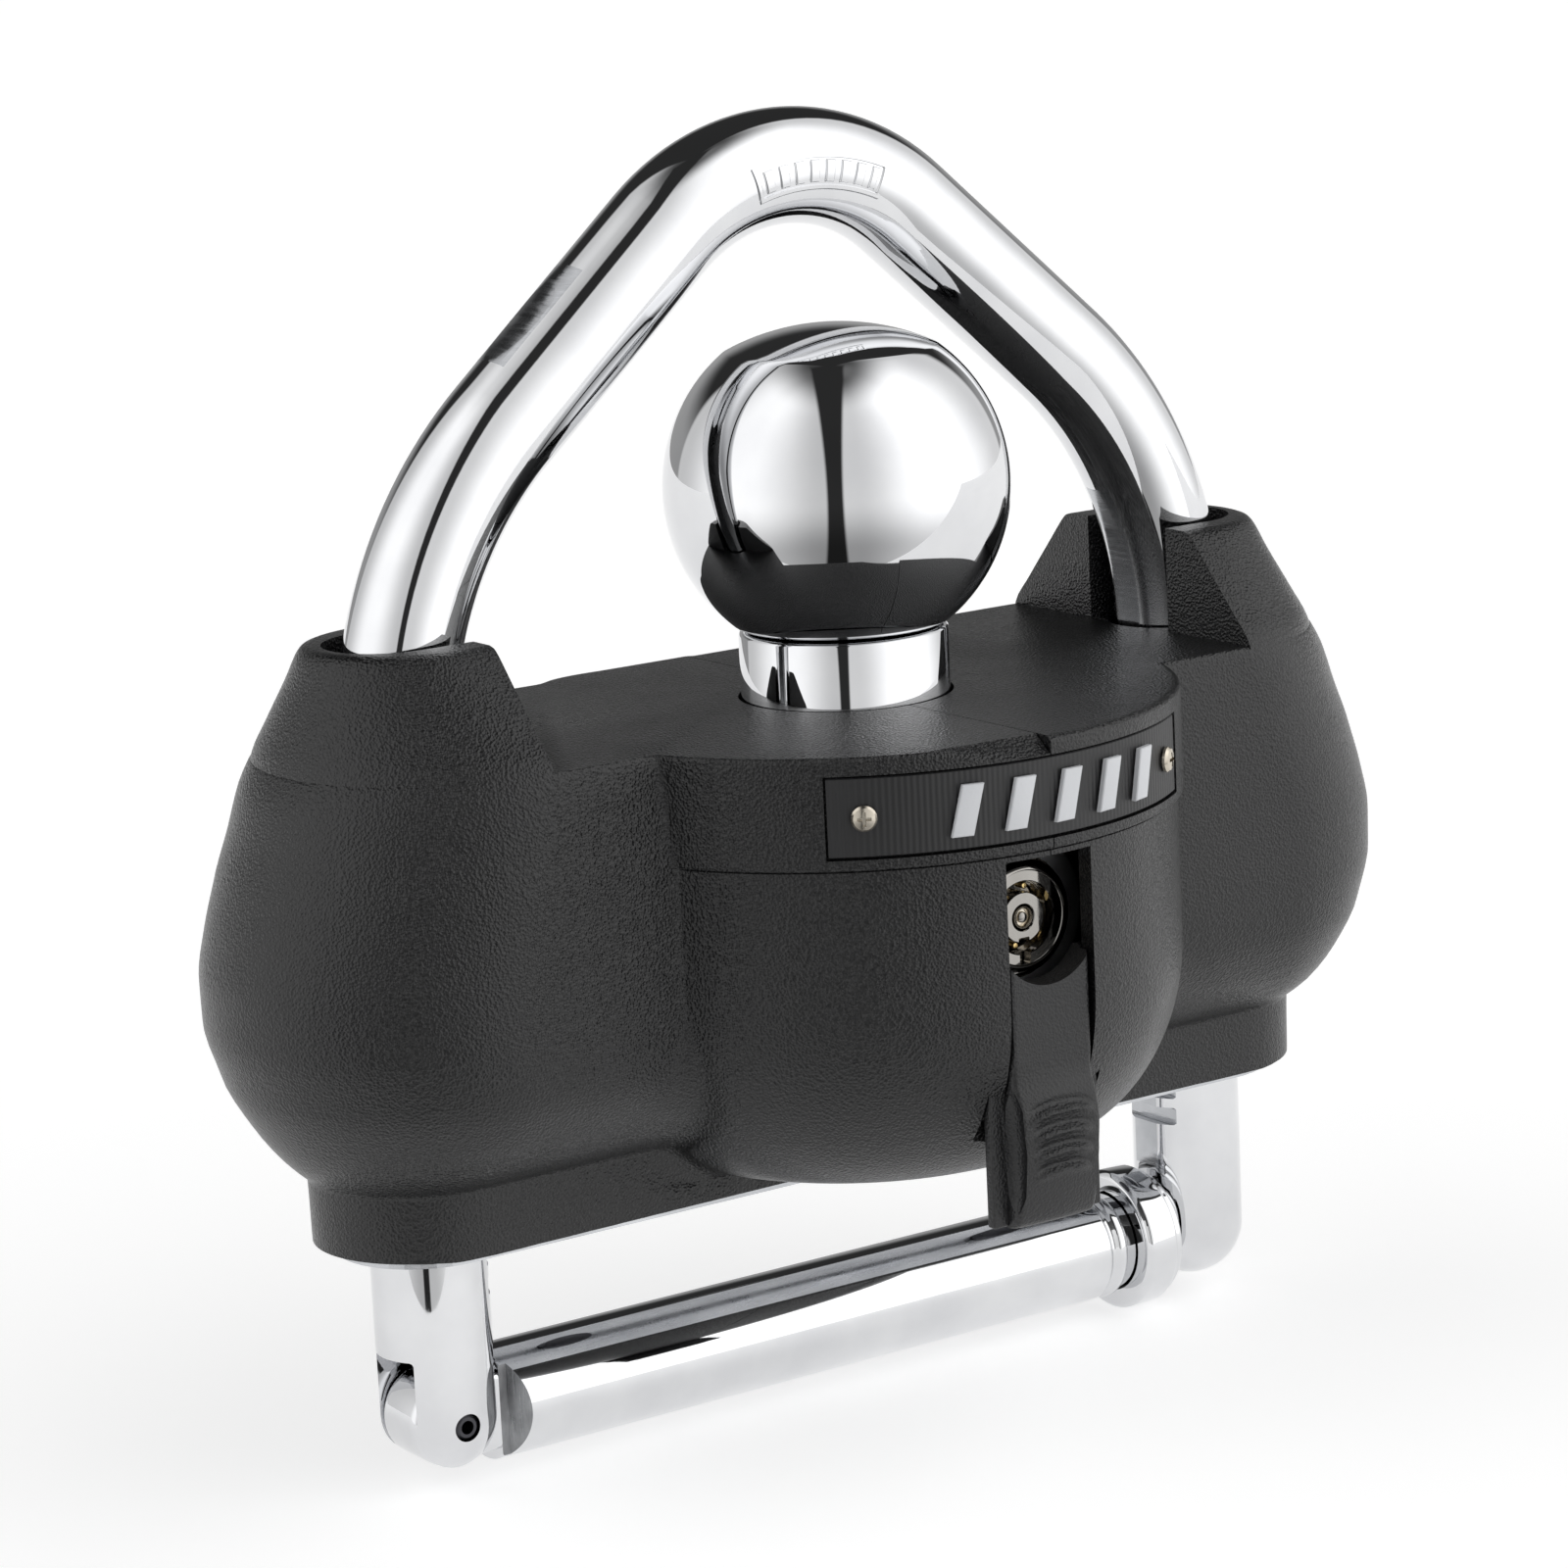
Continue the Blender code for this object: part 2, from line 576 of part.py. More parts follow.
def build_lock(black, nickel, brass, steel, dark_steel):
    here = (0.0, 0.0, LOCK_Z)
    bore = PLUG_RADIUS + GAP
    profile = [
        (bore, BEZEL_FRONT_Y + 0.3),
        (6.4, BEZEL_FRONT_Y + 0.3),
        (6.5, BEZEL_FRONT_Y),
        (7.8, BEZEL_FRONT_Y + 0.8),
        (7.8, BEZEL_FRONT_Y + 1.7),
        (bore, BEZEL_FRONT_Y + 1.7),
    ]
    bezel = lathe(profile, 32, "Y", here)
    cut(bezel, box(-0.9, 0.9, -52.0, BEZEL_FRONT_Y + 1.1, LOCK_Z - 6.3, LOCK_Z - 4.0))
    node(bezel, "lock_bezel", black, here)
    profile = [
        (8.4, -47.3),
        (8.4, -46.5),
        (BARREL_RADIUS, -46.5),
        (BARREL_RADIUS, BARREL_BACK_Y),
        (PLUG_RADIUS + GAP, BARREL_BACK_Y),
        (PLUG_RADIUS + GAP, -47.3),
    ]
    node(lathe(profile, 28, "Y", here), "lock_barrel", nickel, here)
    node(rod(1.4, 60.0, 66.0, 12, "Z", (0.0, -36.0, 0.0)), "lock_set_screw", dark_steel)

    profile = [
        (POST_RADIUS + GAP, -48.9),
        (CORE_FACE_RADIUS, -48.9),
        (CORE_FACE_RADIUS, GROOVE_FLOOR_Y),
        (PLUG_RADIUS, GROOVE_FLOOR_Y),
        (PLUG_RADIUS, -21.0),
        (2.8, -21.0),
        (2.8, CAM_HALF_Y - 0.6),
        (POST_RADIUS + GAP, CAM_HALF_Y - 0.6),
    ]
    plug = lathe(profile, 24, "Y", here)
    cut(plug, box(-0.9, 0.9, -52.0, -46.5, LOCK_Z - 4.0, LOCK_Z - 2.7))
    node(plug, "lock_plug", nickel, here)
    node(rod(POST_RADIUS, -49.1, -20.0, 20, "Y", here), "lock_post", nickel, here)
    for i in range(7):
        turn = math.tau * (i + 0.5) / 7
        centre = (4.15 * math.sin(turn), 0.0, LOCK_Z + 4.15 * math.cos(turn))
        pin = rod(0.45, -47.0, GROOVE_FLOOR_Y - GAP, 10, "Y", centre)
        node(pin, f"lock_pin_{i + 1}", brass, centre)

    cam = rod(1.0, -CAM_HALF_Y, CAM_HALF_Y, 32, "Y")
    cam.data.transform(Matrix.Translation(here) @ Matrix.Diagonal((CAM_HALF_X, 1.0, CAM_HALF_Z, 1.0)))
    cut(cam, rod(2.8 + GAP, -9.0, 9.0, 20, "Y", here))
    node(cam, "drive_cam", steel, here)
    end = CAM_HALF_Y + GAP
    profile = [(0.0, -14.0), (1.2, -14.0), (1.2, end), (4.4, end), (4.0, end + 2.0), (0.0, end + 2.0)]
    node(lathe(profile, 16, "Y", here), "cam_screw", dark_steel, here)


def coil(radius, wire, start, end, turns, per_turn=10, segments=5):
    """A spring along X with its end faces standing on the wire's own section."""
    rings = []
    count = turns * per_turn
    for i in range(count + 1):
        turn = math.tau * i / per_turn
        x = start + wire + (end - start - 2.0 * wire) * i / count
        out = Vector((0.0, math.cos(turn), math.sin(turn)))
        centre = Vector((x, 0.0, LOCK_Z)) + out * radius
        ring = []
        for k in range(segments):
            around = math.tau * k / segments
            ring.append(centre + out * (wire * math.cos(around)) + Vector((wire * math.sin(around), 0, 0)))
        rings.append(ring)
    return skin(rings)


def build_pawls(steel, spring_steel):
    for side, name in ((-1, "left"), (1, "right")):
        inner = CAM_HALF_X + GAP
        profile = [
            (0.0, inner),
            (3.4, inner),
            (4.6, inner + 1.2),
            (4.6, PAWL_HEAD_END_X),
            (2.5, PAWL_HEAD_END_X),
            (2.5, PAWL_REST_TIP_X - 3.2),
            (0.0, PAWL_REST_TIP_X - 3.2),
        ]
        pawl = lathe(profile, 20, "X", (0.0, 0.0, LOCK_Z))
        join(pawl, box(PAWL_REST_TIP_X - 5.0, PAWL_REST_TIP_X, -2.4, 2.4, LOCK_Z - 1.0, LOCK_Z + 1.0))
        spring = coil(3.7, 0.45, PAWL_HEAD_END_X + GAP, SPRING_SEAT_X - GAP, 4)
        if side < 0:
            mirror = Matrix.Diagonal((-1.0, 1.0, 1.0, 1.0))
            for piece in (pawl, spring):
                piece.data.transform(mirror)
                piece.data.flip_normals()
        origin = (side * PAWL_HEAD_END_X, 0.0, LOCK_Z)
        node(pawl, name + "_pawl", steel, origin)
        node(spring, name + "_pawl_spring", spring_steel, origin)


def build_label(plastic, paint, screw_steel):
    plate = sector(
        LABEL_OUTER_RADIUS - 1.0, LABEL_OUTER_RADIUS, LABEL_BOTTOM_Z, LABEL_TOP_Z, LABEL_ANGLE, 16
    )
    for side in (-1, 1):
        cut(plate, radial_rod(1.2, 38.0, 48.0, side * LABEL_SCREW_ANGLE, 12))
    node(plate, "label_plate", plastic)
    for side, name in ((-1, "label_screw_left"), (1, "label_screw_right")):
        front = LABEL_OUTER_RADIUS + GAP
        profile = [(0.0, 42.0), (0.9, 42.0), (0.9, front), (1.75, front), (1.3, front + 0.8), (0.0, front + 0.8)]
        screw = lathe(profile, 14)
        turn = Matrix.Rotation(math.radians(side * LABEL_SCREW_ANGLE), 4, "Z")
        screw.data.transform(turn @ Matrix.Rotation(math.radians(90.0), 4, "X"))
        screw.data.transform(Matrix.Translation((0.0, DRUM_Y, LABEL_Z)))
        node(screw, name, screw_steel)
    for i in range(5):
        angle = math.radians(-16.0 + 9.5 * i)
        bar = box(-1.5, 1.5, -LABEL_OUTER_RADIUS - 1.1, -LABEL_OUTER_RADIUS - GAP, -3.4, 3.4)
        for vertex in bar.data.vertices:
            vertex.co.x += 0.25 * vertex.co.z
        bar.data.transform(Matrix.Translation((0.0, DRUM_Y, LABEL_Z)) @ Matrix.Rotation(angle, 4, "Z"))
        node(bar, f"label_bar_{i + 1}", paint, round_shape=False)


def build_dust_cover(plastic):
    outline = [
        (-50.5, DUST_TOP_Z),
        (-54.3, DUST_TOP_Z),
        (-54.3, 56.0),
        (-54.6, 53.5),
        (-55.4, 51.0),
        (-56.0, 48.5),
        (-56.2, 46.0),
        (-56.1, 43.0),
        (-55.7, 40.0),
        (-55.1, 37.0),
        (-54.3, 34.4),
        (-53.6, DUST_BOTTOM_Z),
        (-50.5, DUST_BOTTOM_Z),
    ]
    slider = extrude_profile(outline, -DUST_HALF_X, DUST_HALF_X)
    rails = box(
        -DUST_RAIL_HALF_X,
        DUST_RAIL_HALF_X,
        DUST_RAIL_FRONT_Y,
        DUST_RAIL_BACK_Y,
        DUST_BOTTOM_Z + 0.2,
        DUST_TOP_Z - 0.2,
    )
    join(slider, rails)
    cut(slider, rod(8.1, -65.0, -45.0, 32, "Y", (0.0, 0.0, LOCK_Z)))
    node(slider, "dust_cover", plastic, (0.0, -52.8, 60.0), round_shape=False)


clear_scene()
PARTS = collection("trailer_coupler_lock")
CHROME = material("chrome", (0.78, 0.79, 0.80), 0.08, 1.0)
PLASTIC = material("black_plastic", (0.018, 0.018, 0.02), 0.42, 0.0)
GLOSS_BLACK = material("gloss_black", (0.01, 0.01, 0.011), 0.18, 0.0)
ZINC = material("cast_zinc", (0.5, 0.51, 0.52), 0.45, 1.0)
STEEL = material("steel", (0.55, 0.56, 0.58), 0.3, 1.0)
DARK_STEEL = material("dark_steel", (0.12, 0.12, 0.13), 0.4, 1.0)
NICKEL = material("nickel", (0.66, 0.62, 0.55), 0.22, 1.0)
BRASS = material("brass", (0.78, 0.58, 0.25), 0.25, 1.0)
PAINT = material("light_grey_paint", (0.62, 0.63, 0.65), 0.4, 0.0)

build_shackle(CHROME, DARK_STEEL)
build_crossbar(CHROME)
build_covers(PLASTIC)
build_core(ZINC)
build_base(STEEL, DARK_STEEL)
build_ball(CHROME, STEEL)
build_lock(GLOSS_BLACK, NICKEL, BRASS, STEEL, DARK_STEEL)
build_pawls(STEEL, STEEL)
build_label(PLASTIC, PAINT, NICKEL)
build_dust_cover(PLASTIC)
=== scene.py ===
import math

import bmesh
import bpy
import numpy as np
from mathutils import Matrix, Vector


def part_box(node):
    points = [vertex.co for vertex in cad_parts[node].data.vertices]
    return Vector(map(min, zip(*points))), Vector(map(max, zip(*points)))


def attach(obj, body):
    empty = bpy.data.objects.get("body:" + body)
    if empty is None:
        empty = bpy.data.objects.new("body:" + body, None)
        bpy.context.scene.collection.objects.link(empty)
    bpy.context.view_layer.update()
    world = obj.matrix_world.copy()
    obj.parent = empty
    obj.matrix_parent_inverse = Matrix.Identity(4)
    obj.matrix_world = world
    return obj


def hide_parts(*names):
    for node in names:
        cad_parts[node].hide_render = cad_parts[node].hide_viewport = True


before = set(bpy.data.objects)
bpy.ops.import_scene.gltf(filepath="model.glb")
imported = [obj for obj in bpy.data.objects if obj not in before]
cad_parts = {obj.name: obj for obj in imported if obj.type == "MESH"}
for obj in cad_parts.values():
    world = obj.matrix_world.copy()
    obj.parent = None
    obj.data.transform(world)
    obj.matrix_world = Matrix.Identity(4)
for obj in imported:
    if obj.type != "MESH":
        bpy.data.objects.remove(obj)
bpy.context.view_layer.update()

# ---------------------------------------------------------------- frame
# Shapes are drawn in millimetres from a point midway between the leg tips.
MM = 0.001
SHACKLE_LOW, SHACKLE_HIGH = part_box("shackle")
ORIGIN = Vector((0.0, 0.5 * (SHACKLE_LOW.y + SHACKLE_HIGH.y), SHACKLE_LOW.z))
BALL_LOW, BALL_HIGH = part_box("coupler_ball")

LEG_RADIUS = 500.0 * (SHACKLE_HIGH.y - SHACKLE_LOW.y)
LEG_X = 1000.0 * SHACKLE_HIGH.x - LEG_RADIUS
DRUM_Y = 1000.0 * (0.5 * (BALL_LOW.y + BALL_HIGH.y) - ORIGIN.y)
BEND_START_Z = 98.5
BEND_RADIUS = 56.0
BEND_ANGLE = math.radians(49.0)
APEX_RADIUS = 30.5
PIN_Z = 7.95
DECK_Z = 99.5
TOWER_FACE_X = 58.0
WALL = 2.6
BAND_RADIUS = 45.8
BAND_BOTTOM_Z = 84.5
DRUM_RADIUS = 45.0
BOWL_TOP_Z = 64.0
BOWL_BOTTOM_Z = 37.0
BOWL_FLAT_RADIUS = 24.0
DRUM_BACK_Y = 29.5
SEAM_HALF = 0.09
LOCK_Z = 74.0
BALL_RADIUS = 23.81
BALL_Z = 128.1
NOTCH_PITCH = 4.0
NOTCH_HALF_HEIGHT = 1.3
LEG_FLAT_DEPTH = 0.4
CLEVIS_HALF_GAP = 4.95
CLEVIS_TOP_Z = 17.7
TONGUE_HALF = 4.65
TONGUE_RADIUS = 6.4
HINGE_PIN_RADIUS = 1.7
CROSSBAR_START_X = -58.5
CROSSBAR_NECK_X = 49.5
CROSSBAR_END_X = 56.9
LEG_BORE_RADIUS = 9.0
NECK_RADIUS = 14.4
SLOT_HALF_X = 7.0
RAIL_GROOVE_HALF_X = 9.35
SLIDER_HALF_X = 6.6
SLIDER_RAIL_HALF_X = 9.0
SLIDER_BOTTOM_Z = 33.3
SLIDER_TOP_Z = 69.9
SLIDER_BACK_Y = -50.6
KEYHOLE_CUT_RADIUS = 8.1
LOCK_FRONT_Y = -49.1
TUMBLER_COUNT = 7
TUMBLER_CIRCLE = 4.15
TUMBLER_RADIUS = 0.45
LABEL_OUTER_RADIUS = 45.6
LABEL_ANGLE = 39.0
LABEL_BOTTOM_Z = 86.2
LABEL_TOP_Z = 96.8
LABEL_Z = 0.5 * (LABEL_BOTTOM_Z + LABEL_TOP_Z)
LABEL_SCREW_ANGLE = 33.0

SLAB_SECTIONS = np.array(
    (
        (32.0, 14.5, 0.0),
        (32.25, 15.0, 0.0),
        (32.8, 15.3, 0.0),
        (42.6, 15.5, 0.0),
        (43.2, 15.9, 0.1),
        (44.2, 17.6, 0.7),
        (46.5, 21.0, 1.9),
        (51.0, 25.0, 2.7),
        (58.0, 28.2, 2.4),
        (65.0, 29.0, 1.3),
        (71.0, 29.0, 1.2),
        (77.0, 29.0, 2.4),
        (84.0, 29.0, 4.6),
        (90.0, 28.6, 6.5),
        (96.0, 28.0, 8.0),
        (99.5, 27.4, 9.4),
    )
)
TOWER_SECTIONS = np.array(
    (
        (90.0, 28.4, 6.6),
        (96.0, 27.9, 8.1),
        (99.5, 27.35, 9.4),
        (104.0, 23.6, 7.6),
        (110.0, 18.2, 5.0),
        (112.8, 15.7, 3.6),
        (113.7, 14.8, 3.2),
        (114.2, 14.1, 3.0),
        (114.5, 13.0, 2.8),
    )
)


# ---------------------------------------------------------------- mesh tools
MERGE = 0.0005
FINE_MERGE = 0.00001


def finish_mesh(shape, merge=MERGE):
    bmesh.ops.remove_doubles(shape, verts=shape.verts, dist=merge)
    bmesh.ops.recalc_face_normals(shape, faces=shape.faces)
    mesh = bpy.data.meshes.new("shape")
    shape.to_mesh(mesh)
    shape.free()
    return mesh


def solid(mesh):
    obj = bpy.data.objects.new("shape", mesh)
    bpy.context.scene.collection.objects.link(obj)
    return obj


def skin(rings, loop=False):
    """A surface through a stack of rings of the same number of points."""
    shape = bmesh.new()
    stack = [[shape.verts.new(point) for point in ring] for ring in rings]
    count = len(stack[0])
    pairs = list(zip(stack, stack[1:])) + ([(stack[-1], stack[0])] if loop else [])
    for lower, upper in pairs:
        for i in range(count):
            j = (i + 1) % count
            shape.faces.new((lower[i], lower[j], upper[j], upper[i]))
    if not loop:
        shape.faces.new(stack[0])
        shape.faces.new(stack[-1])
    return solid(finish_mesh(shape))


def slab_between(front, back):
    """A closed shape between two grids of points of the same size."""
    shape = bmesh.new()
    near, far = ([[shape.verts.new(p) for p in line] for line in grid] for grid in (front, back))
    rows, columns = len(front) - 1, len(front[0]) - 1
    for i in range(rows):
        for k in range(columns):
            for grid in (near, far):
                corners = (grid[i][k], grid[i + 1][k], grid[i + 1][k + 1], grid[i][k + 1])
                shape.faces.new(corners)
        for k in (0, columns):
            shape.faces.new((near[i][k], far[i][k], far[i + 1][k], near[i + 1][k]))
    for k in range(columns):
        for i in (0, rows):
            shape.faces.new((near[i][k], near[i][k + 1], far[i][k + 1], far[i][k]))
    return solid(finish_mesh(shape, FINE_MERGE))


def box(x0, x1, y0, y1, z0, z1, bevel=0.0, segments=2):
    shape = bmesh.new()
    bmesh.ops.create_cube(shape, size=1.0)
    bmesh.ops.scale(shape, vec=(x1 - x0, y1 - y0, z1 - z0), verts=shape.verts)
    centre = Vector((0.5 * (x0 + x1), 0.5 * (y0 + y1), 0.5 * (z0 + z1)))
    bmesh.ops.translate(shape, vec=centre, verts=shape.verts)
    if bevel:
        bmesh.ops.bevel(
            shape, geom=shape.edges[:], offset=bevel, segments=segments, affect="EDGES", profile=0.5
        )
    return solid(finish_mesh(shape))


AXIS_TURN = {
    "Z": Matrix.Identity(4),
    "Y": Matrix.Rotation(math.radians(-90.0), 4, "X"),
    "X": Matrix.Rotation(math.radians(90.0), 4, "Y"),
}


def lathe(profile, steps, axis="Z", centre=(0.0, 0.0, 0.0)):
    """Turns (radius, height) points round an axis; off the axis they close into a ring."""
    place = Matrix.Translation(centre) @ AXIS_TURN[axis]
    rings = []
    for i in range(steps):
        turn = math.tau * i / steps
        rings.append(
            [place @ Vector((r * math.cos(turn), r * math.sin(turn), h)) for r, h in profile]
        )
    if profile[0][0] > 0.0:
        return skin(rings, loop=True)
    shape = bmesh.new()
    stack = [[shape.verts.new(point) for point in ring] for ring in rings]
    for i in range(steps):
        near, far = stack[i], stack[(i + 1) % steps]
        for k in range(len(profile) - 1):
            shape.faces.new((near[k], far[k], far[k + 1], near[k + 1]))
    return solid(finish_mesh(shape))


def rod(radius, start, end, steps, axis="Z", centre=(0.0, 0.0, 0.0)):
    return lathe([(0.0, start), (radius, start), (radius, end), (0.0, end)], steps, axis, centre)


def rounded(profile, radius, segments=3):
    """Rounds the inner corners of an open (radius, height) profile."""
    out = [profile[0]]
    for before, here, after in zip(profile, profile[1:], profile[2:]):
        a, b, c = Vector(before), Vector(here), Vector(after)
        reach = min(radius, 0.45 * (a - b).length, 0.45 * (c - b).length)
        start = b + (a - b).normalized() * reach
        end = b + (c - b).normalized() * reach
        for i in range(segments + 1):
            t = i / segments
            p = start * (1 - t) ** 2 + b * 2 * t * (1 - t) + end * t**2
            out.append((p.x, p.y))
    out.append(profile[-1])
    return out


def combine(target, others, operation):
    for other in others:
        for solver in ("MANIFOLD", "EXACT"):
            modifier = target.modifiers.new("boolean", "BOOLEAN")
            modifier.operation = operation
            modifier.solver = solver
            modifier.object = other
            graph = bpy.context.evaluated_depsgraph_get()
            mesh = bpy.data.meshes.new_from_object(target.evaluated_get(graph))
            target.modifiers.clear()
            if len(mesh.polygons) and len(mesh.polygons) != len(target.data.polygons):
                break
        target.data = mesh
        bpy.data.objects.remove(other, do_unlink=True)
    return target


def cut(target, *others):
    return combine(target, others, "DIFFERENCE")


def join(target, *others):
    return combine(target, others, "UNION")


def moved(obj, matrix):
    obj.data.transform(matrix)
    if matrix.determinant() < 0:
        obj.data.flip_normals()
    return obj


def copy_of(obj):
    return solid(obj.data.copy())


def paint(obj, index, test):
    """Gives the faces that pass a test another material of the piece."""
    for face in obj.data.polygons:
        face.material_index = index if test(face.center, face.normal) else 0


def piece(obj, name, body, material, slot, replaced=(), angle=32.0, bevel=0.0, more=()):
    """Turns a drawn shape into a finished piece that rides on a body."""
    mesh = obj.data
    mesh.transform(Matrix.Translation(ORIGIN) @ Matrix.Diagonal((MM, MM, MM, 1.0)))
    chosen = [face.material_index for face in mesh.polygons]
    mesh.materials.clear()
    for one in (material, *more):
        mesh.materials.append(one)
    if more:
        for face, index in zip(mesh.polygons, chosen):
            face.material_index = index
    obj.name = name
    mesh.name = name
    mesh.shade_smooth()
    mesh.set_sharp_from_angle(angle=math.radians(angle))
    if bevel:
        modifier = obj.modifiers.new("edge", "BEVEL")
        modifier.width = bevel * MM
        modifier.segments = 2
        modifier.limit_method = "ANGLE"
        modifier.angle_limit = math.radians(35.0)
        modifier.harden_normals = True
        modifier.use_clamp_overlap = True
    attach(obj, body)
    if replaced:
        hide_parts(*replaced)
    return obj


# ---------------------------------------------------------------- materials
def new_material(name):
    made = bpy.data.materials.new(name)
    made.use_nodes = True
    nodes = made.node_tree.nodes
    return made, nodes, made.node_tree.links, nodes["Principled BSDF"]


def coords(nodes):
    return nodes.new("ShaderNodeTexCoord").outputs["Object"]


def noise(nodes, links, vector, scale, detail=3.0, roughness=0.5):
    made = nodes.new("ShaderNodeTexNoise")
    made.inputs["Scale"].default_value = scale
    made.inputs["Detail"].default_value = detail
    made.inputs["Roughness"].default_value = roughness
    links.new(vector, made.inputs["Vector"])
    return made.outputs["Fac"]


def ramp(nodes, links, value, low, high, out_low, out_high):
    made = nodes.new("ShaderNodeMapRange")
    links.new(value, made.inputs["Value"])
    for key, number in (
        ("From Min", low),
        ("From Max", high),
        ("To Min", out_low),
        ("To Max", out_high),
    ):
        made.inputs[key].default_value = number
    return made.outputs["Result"]


def colour_ramp(nodes, links, value, stops):
    made = nodes.new("ShaderNodeValToRGB")
    links.new(value, made.inputs["Fac"])
    elements = made.color_ramp.elements
    while len(elements) < len(stops):
        elements.new(0.5)
    for element, (position, colour) in zip(elements, stops):
        element.position = position
        element.color = (*colour, 1.0)
    return made.outputs["Color"]


def bump(nodes, links, shader, height, strength, distance, before=None):
    made = nodes.new("ShaderNodeBump")
    made.inputs["Strength"].default_value = strength
    made.inputs["Distance"].default_value = distance
    links.new(height, made.inputs["Height"])
    if before is not None:
        links.new(before, made.inputs["Normal"])
    links.new(made.outputs["Normal"], shader.inputs["Normal"])
    return made.outputs["Normal"]


def metal(name, dark, light, roughness, spread, scratch_scale, bump_strength):
    """A metal with soft blotches in colour and gloss and fine scratches along one direction."""
    made, nodes, links, shader = new_material(name)
    place = coords(nodes)
    shader.inputs["Metallic"].default_value = 1.0
    blotch = noise(nodes, links, place, 90.0, 4.0)
    links.new(
        colour_ramp(nodes, links, blotch, ((0.3, dark), (0.7, light))), shader.inputs["Base Color"]
    )
    stretch = nodes.new("ShaderNodeMapping")
    stretch.inputs["Scale"].default_value = scratch_scale
    links.new(place, stretch.inputs["Vector"])
    scratch = noise(nodes, links, stretch.outputs["Vector"], 6.0, 5.0, 0.65)
    links.new(
        ramp(nodes, links, scratch, 0.35, 0.75, roughness - spread, roughness + spread),
        shader.inputs["Roughness"],
    )
    bump(nodes, links, shader, scratch, bump_strength, 0.0001)
    return made


def plastic(name, colour, lighter, roughness, grain, grain_depth, flow=0.05, specular=0.45):
    """Moulded plastic with a fine spark-eroded grain and a slightly uneven sheen."""
    made, nodes, links, shader = new_material(name)
    place = coords(nodes)
    cloud = noise(nodes, links, place, 45.0, 3.0)
    links.new(
        colour_ramp(nodes, links, cloud, ((0.25, colour), (0.8, lighter))), shader.inputs["Base Color"]
    )
    links.new(
        ramp(nodes, links, cloud, 0.2, 0.8, roughness - flow, roughness + flow),
        shader.inputs["Roughness"],
    )
    # wrinkled cells: the pattern is looked up through a coordinate that wanders a little
    wander = nodes.new("ShaderNodeTexNoise")
    wander.inputs["Scale"].default_value = 0.7 * grain
    links.new(place, wander.inputs["Vector"])
    shift = nodes.new("ShaderNodeVectorMath")
    shift.operation = "MULTIPLY_ADD"
    shift.inputs[1].default_value = (0.9 / grain, 0.9 / grain, 0.9 / grain)
    links.new(wander.outputs["Color"], shift.inputs[0])
    links.new(place, shift.inputs[2])
    cells = nodes.new("ShaderNodeTexVoronoi")
    cells.feature = "SMOOTH_F1"
    cells.inputs["Scale"].default_value = grain
    cells.inputs["Smoothness"].default_value = 0.35
    links.new(shift.outputs["Vector"], cells.inputs["Vector"])
    bump(nodes, links, shader, cells.outputs["Distance"], 0.9, grain_depth)
    shader.inputs["Specular IOR Level"].default_value = specular
    return made


CHROME = metal(
    "chrome", (0.66, 0.665, 0.68), (0.73, 0.735, 0.745),
    0.035, 0.02, (120.0, 120.0, 30.0), 0.012,
)
BALL_CHROME = metal(
    "ball_chrome", (0.66, 0.665, 0.68), (0.73, 0.735, 0.745),
    0.02, 0.012, (60.0, 60.0, 60.0), 0.004,
)
MILLED = metal(
    "milled_chrome", (0.42, 0.43, 0.45), (0.62, 0.63, 0.65),
    0.2, 0.08, (20.0, 20.0, 260.0), 0.25,
)
PLASTIC = plastic(
    "black_plastic", (0.003, 0.003, 0.0033), (0.005, 0.005, 0.0055),
    0.30, 2500.0, 0.00018,
)
SLIDER_PLASTIC = plastic(
    "slider_plastic", (0.006, 0.006, 0.0065), (0.010, 0.010, 0.011),
    0.40, 2600.0, 0.00010,
)
LOCK_CHROME = metal(
    "lock_chrome", (0.24, 0.23, 0.215), (0.36, 0.35, 0.33),
    0.09, 0.05, (60.0, 60.0, 60.0), 0.03,
)
PAINT = plastic(
    "light_grey_paint", (0.50, 0.51, 0.53), (0.62, 0.63, 0.65),
    0.38, 1800.0, 0.00002, 0.05, 0.5,
)
ROUGH_CUT = metal(
    "rough_cut_steel", (0.10, 0.10, 0.105), (0.42, 0.43, 0.44),
    0.34, 0.12, (260.0, 260.0, 25.0), 0.9,
)
ZINC = metal(
    "cast_zinc", (0.36, 0.37, 0.38), (0.5, 0.51, 0.52),
    0.48, 0.08, (60.0, 60.0, 60.0), 0.4,
)
STEEL = metal(
    "machined_steel", (0.46, 0.47, 0.49), (0.6, 0.61, 0.63),
    0.3, 0.08, (30.0, 30.0, 300.0), 0.12,
)
DARK_STEEL = metal(
    "dark_steel", (0.05, 0.05, 0.055), (0.11, 0.11, 0.12),
    0.36, 0.08, (80.0, 80.0, 80.0), 0.15,
)
NICKEL = metal("nickel", (0.52, 0.47, 0.39), (0.68, 0.63, 0.54), 0.2, 0.06, (80.0, 80.0, 80.0), 0.1)
BRASS = metal("brass", (0.58, 0.42, 0.18), (0.74, 0.57, 0.27), 0.24, 0.06, (80.0, 80.0, 80.0), 0.1)


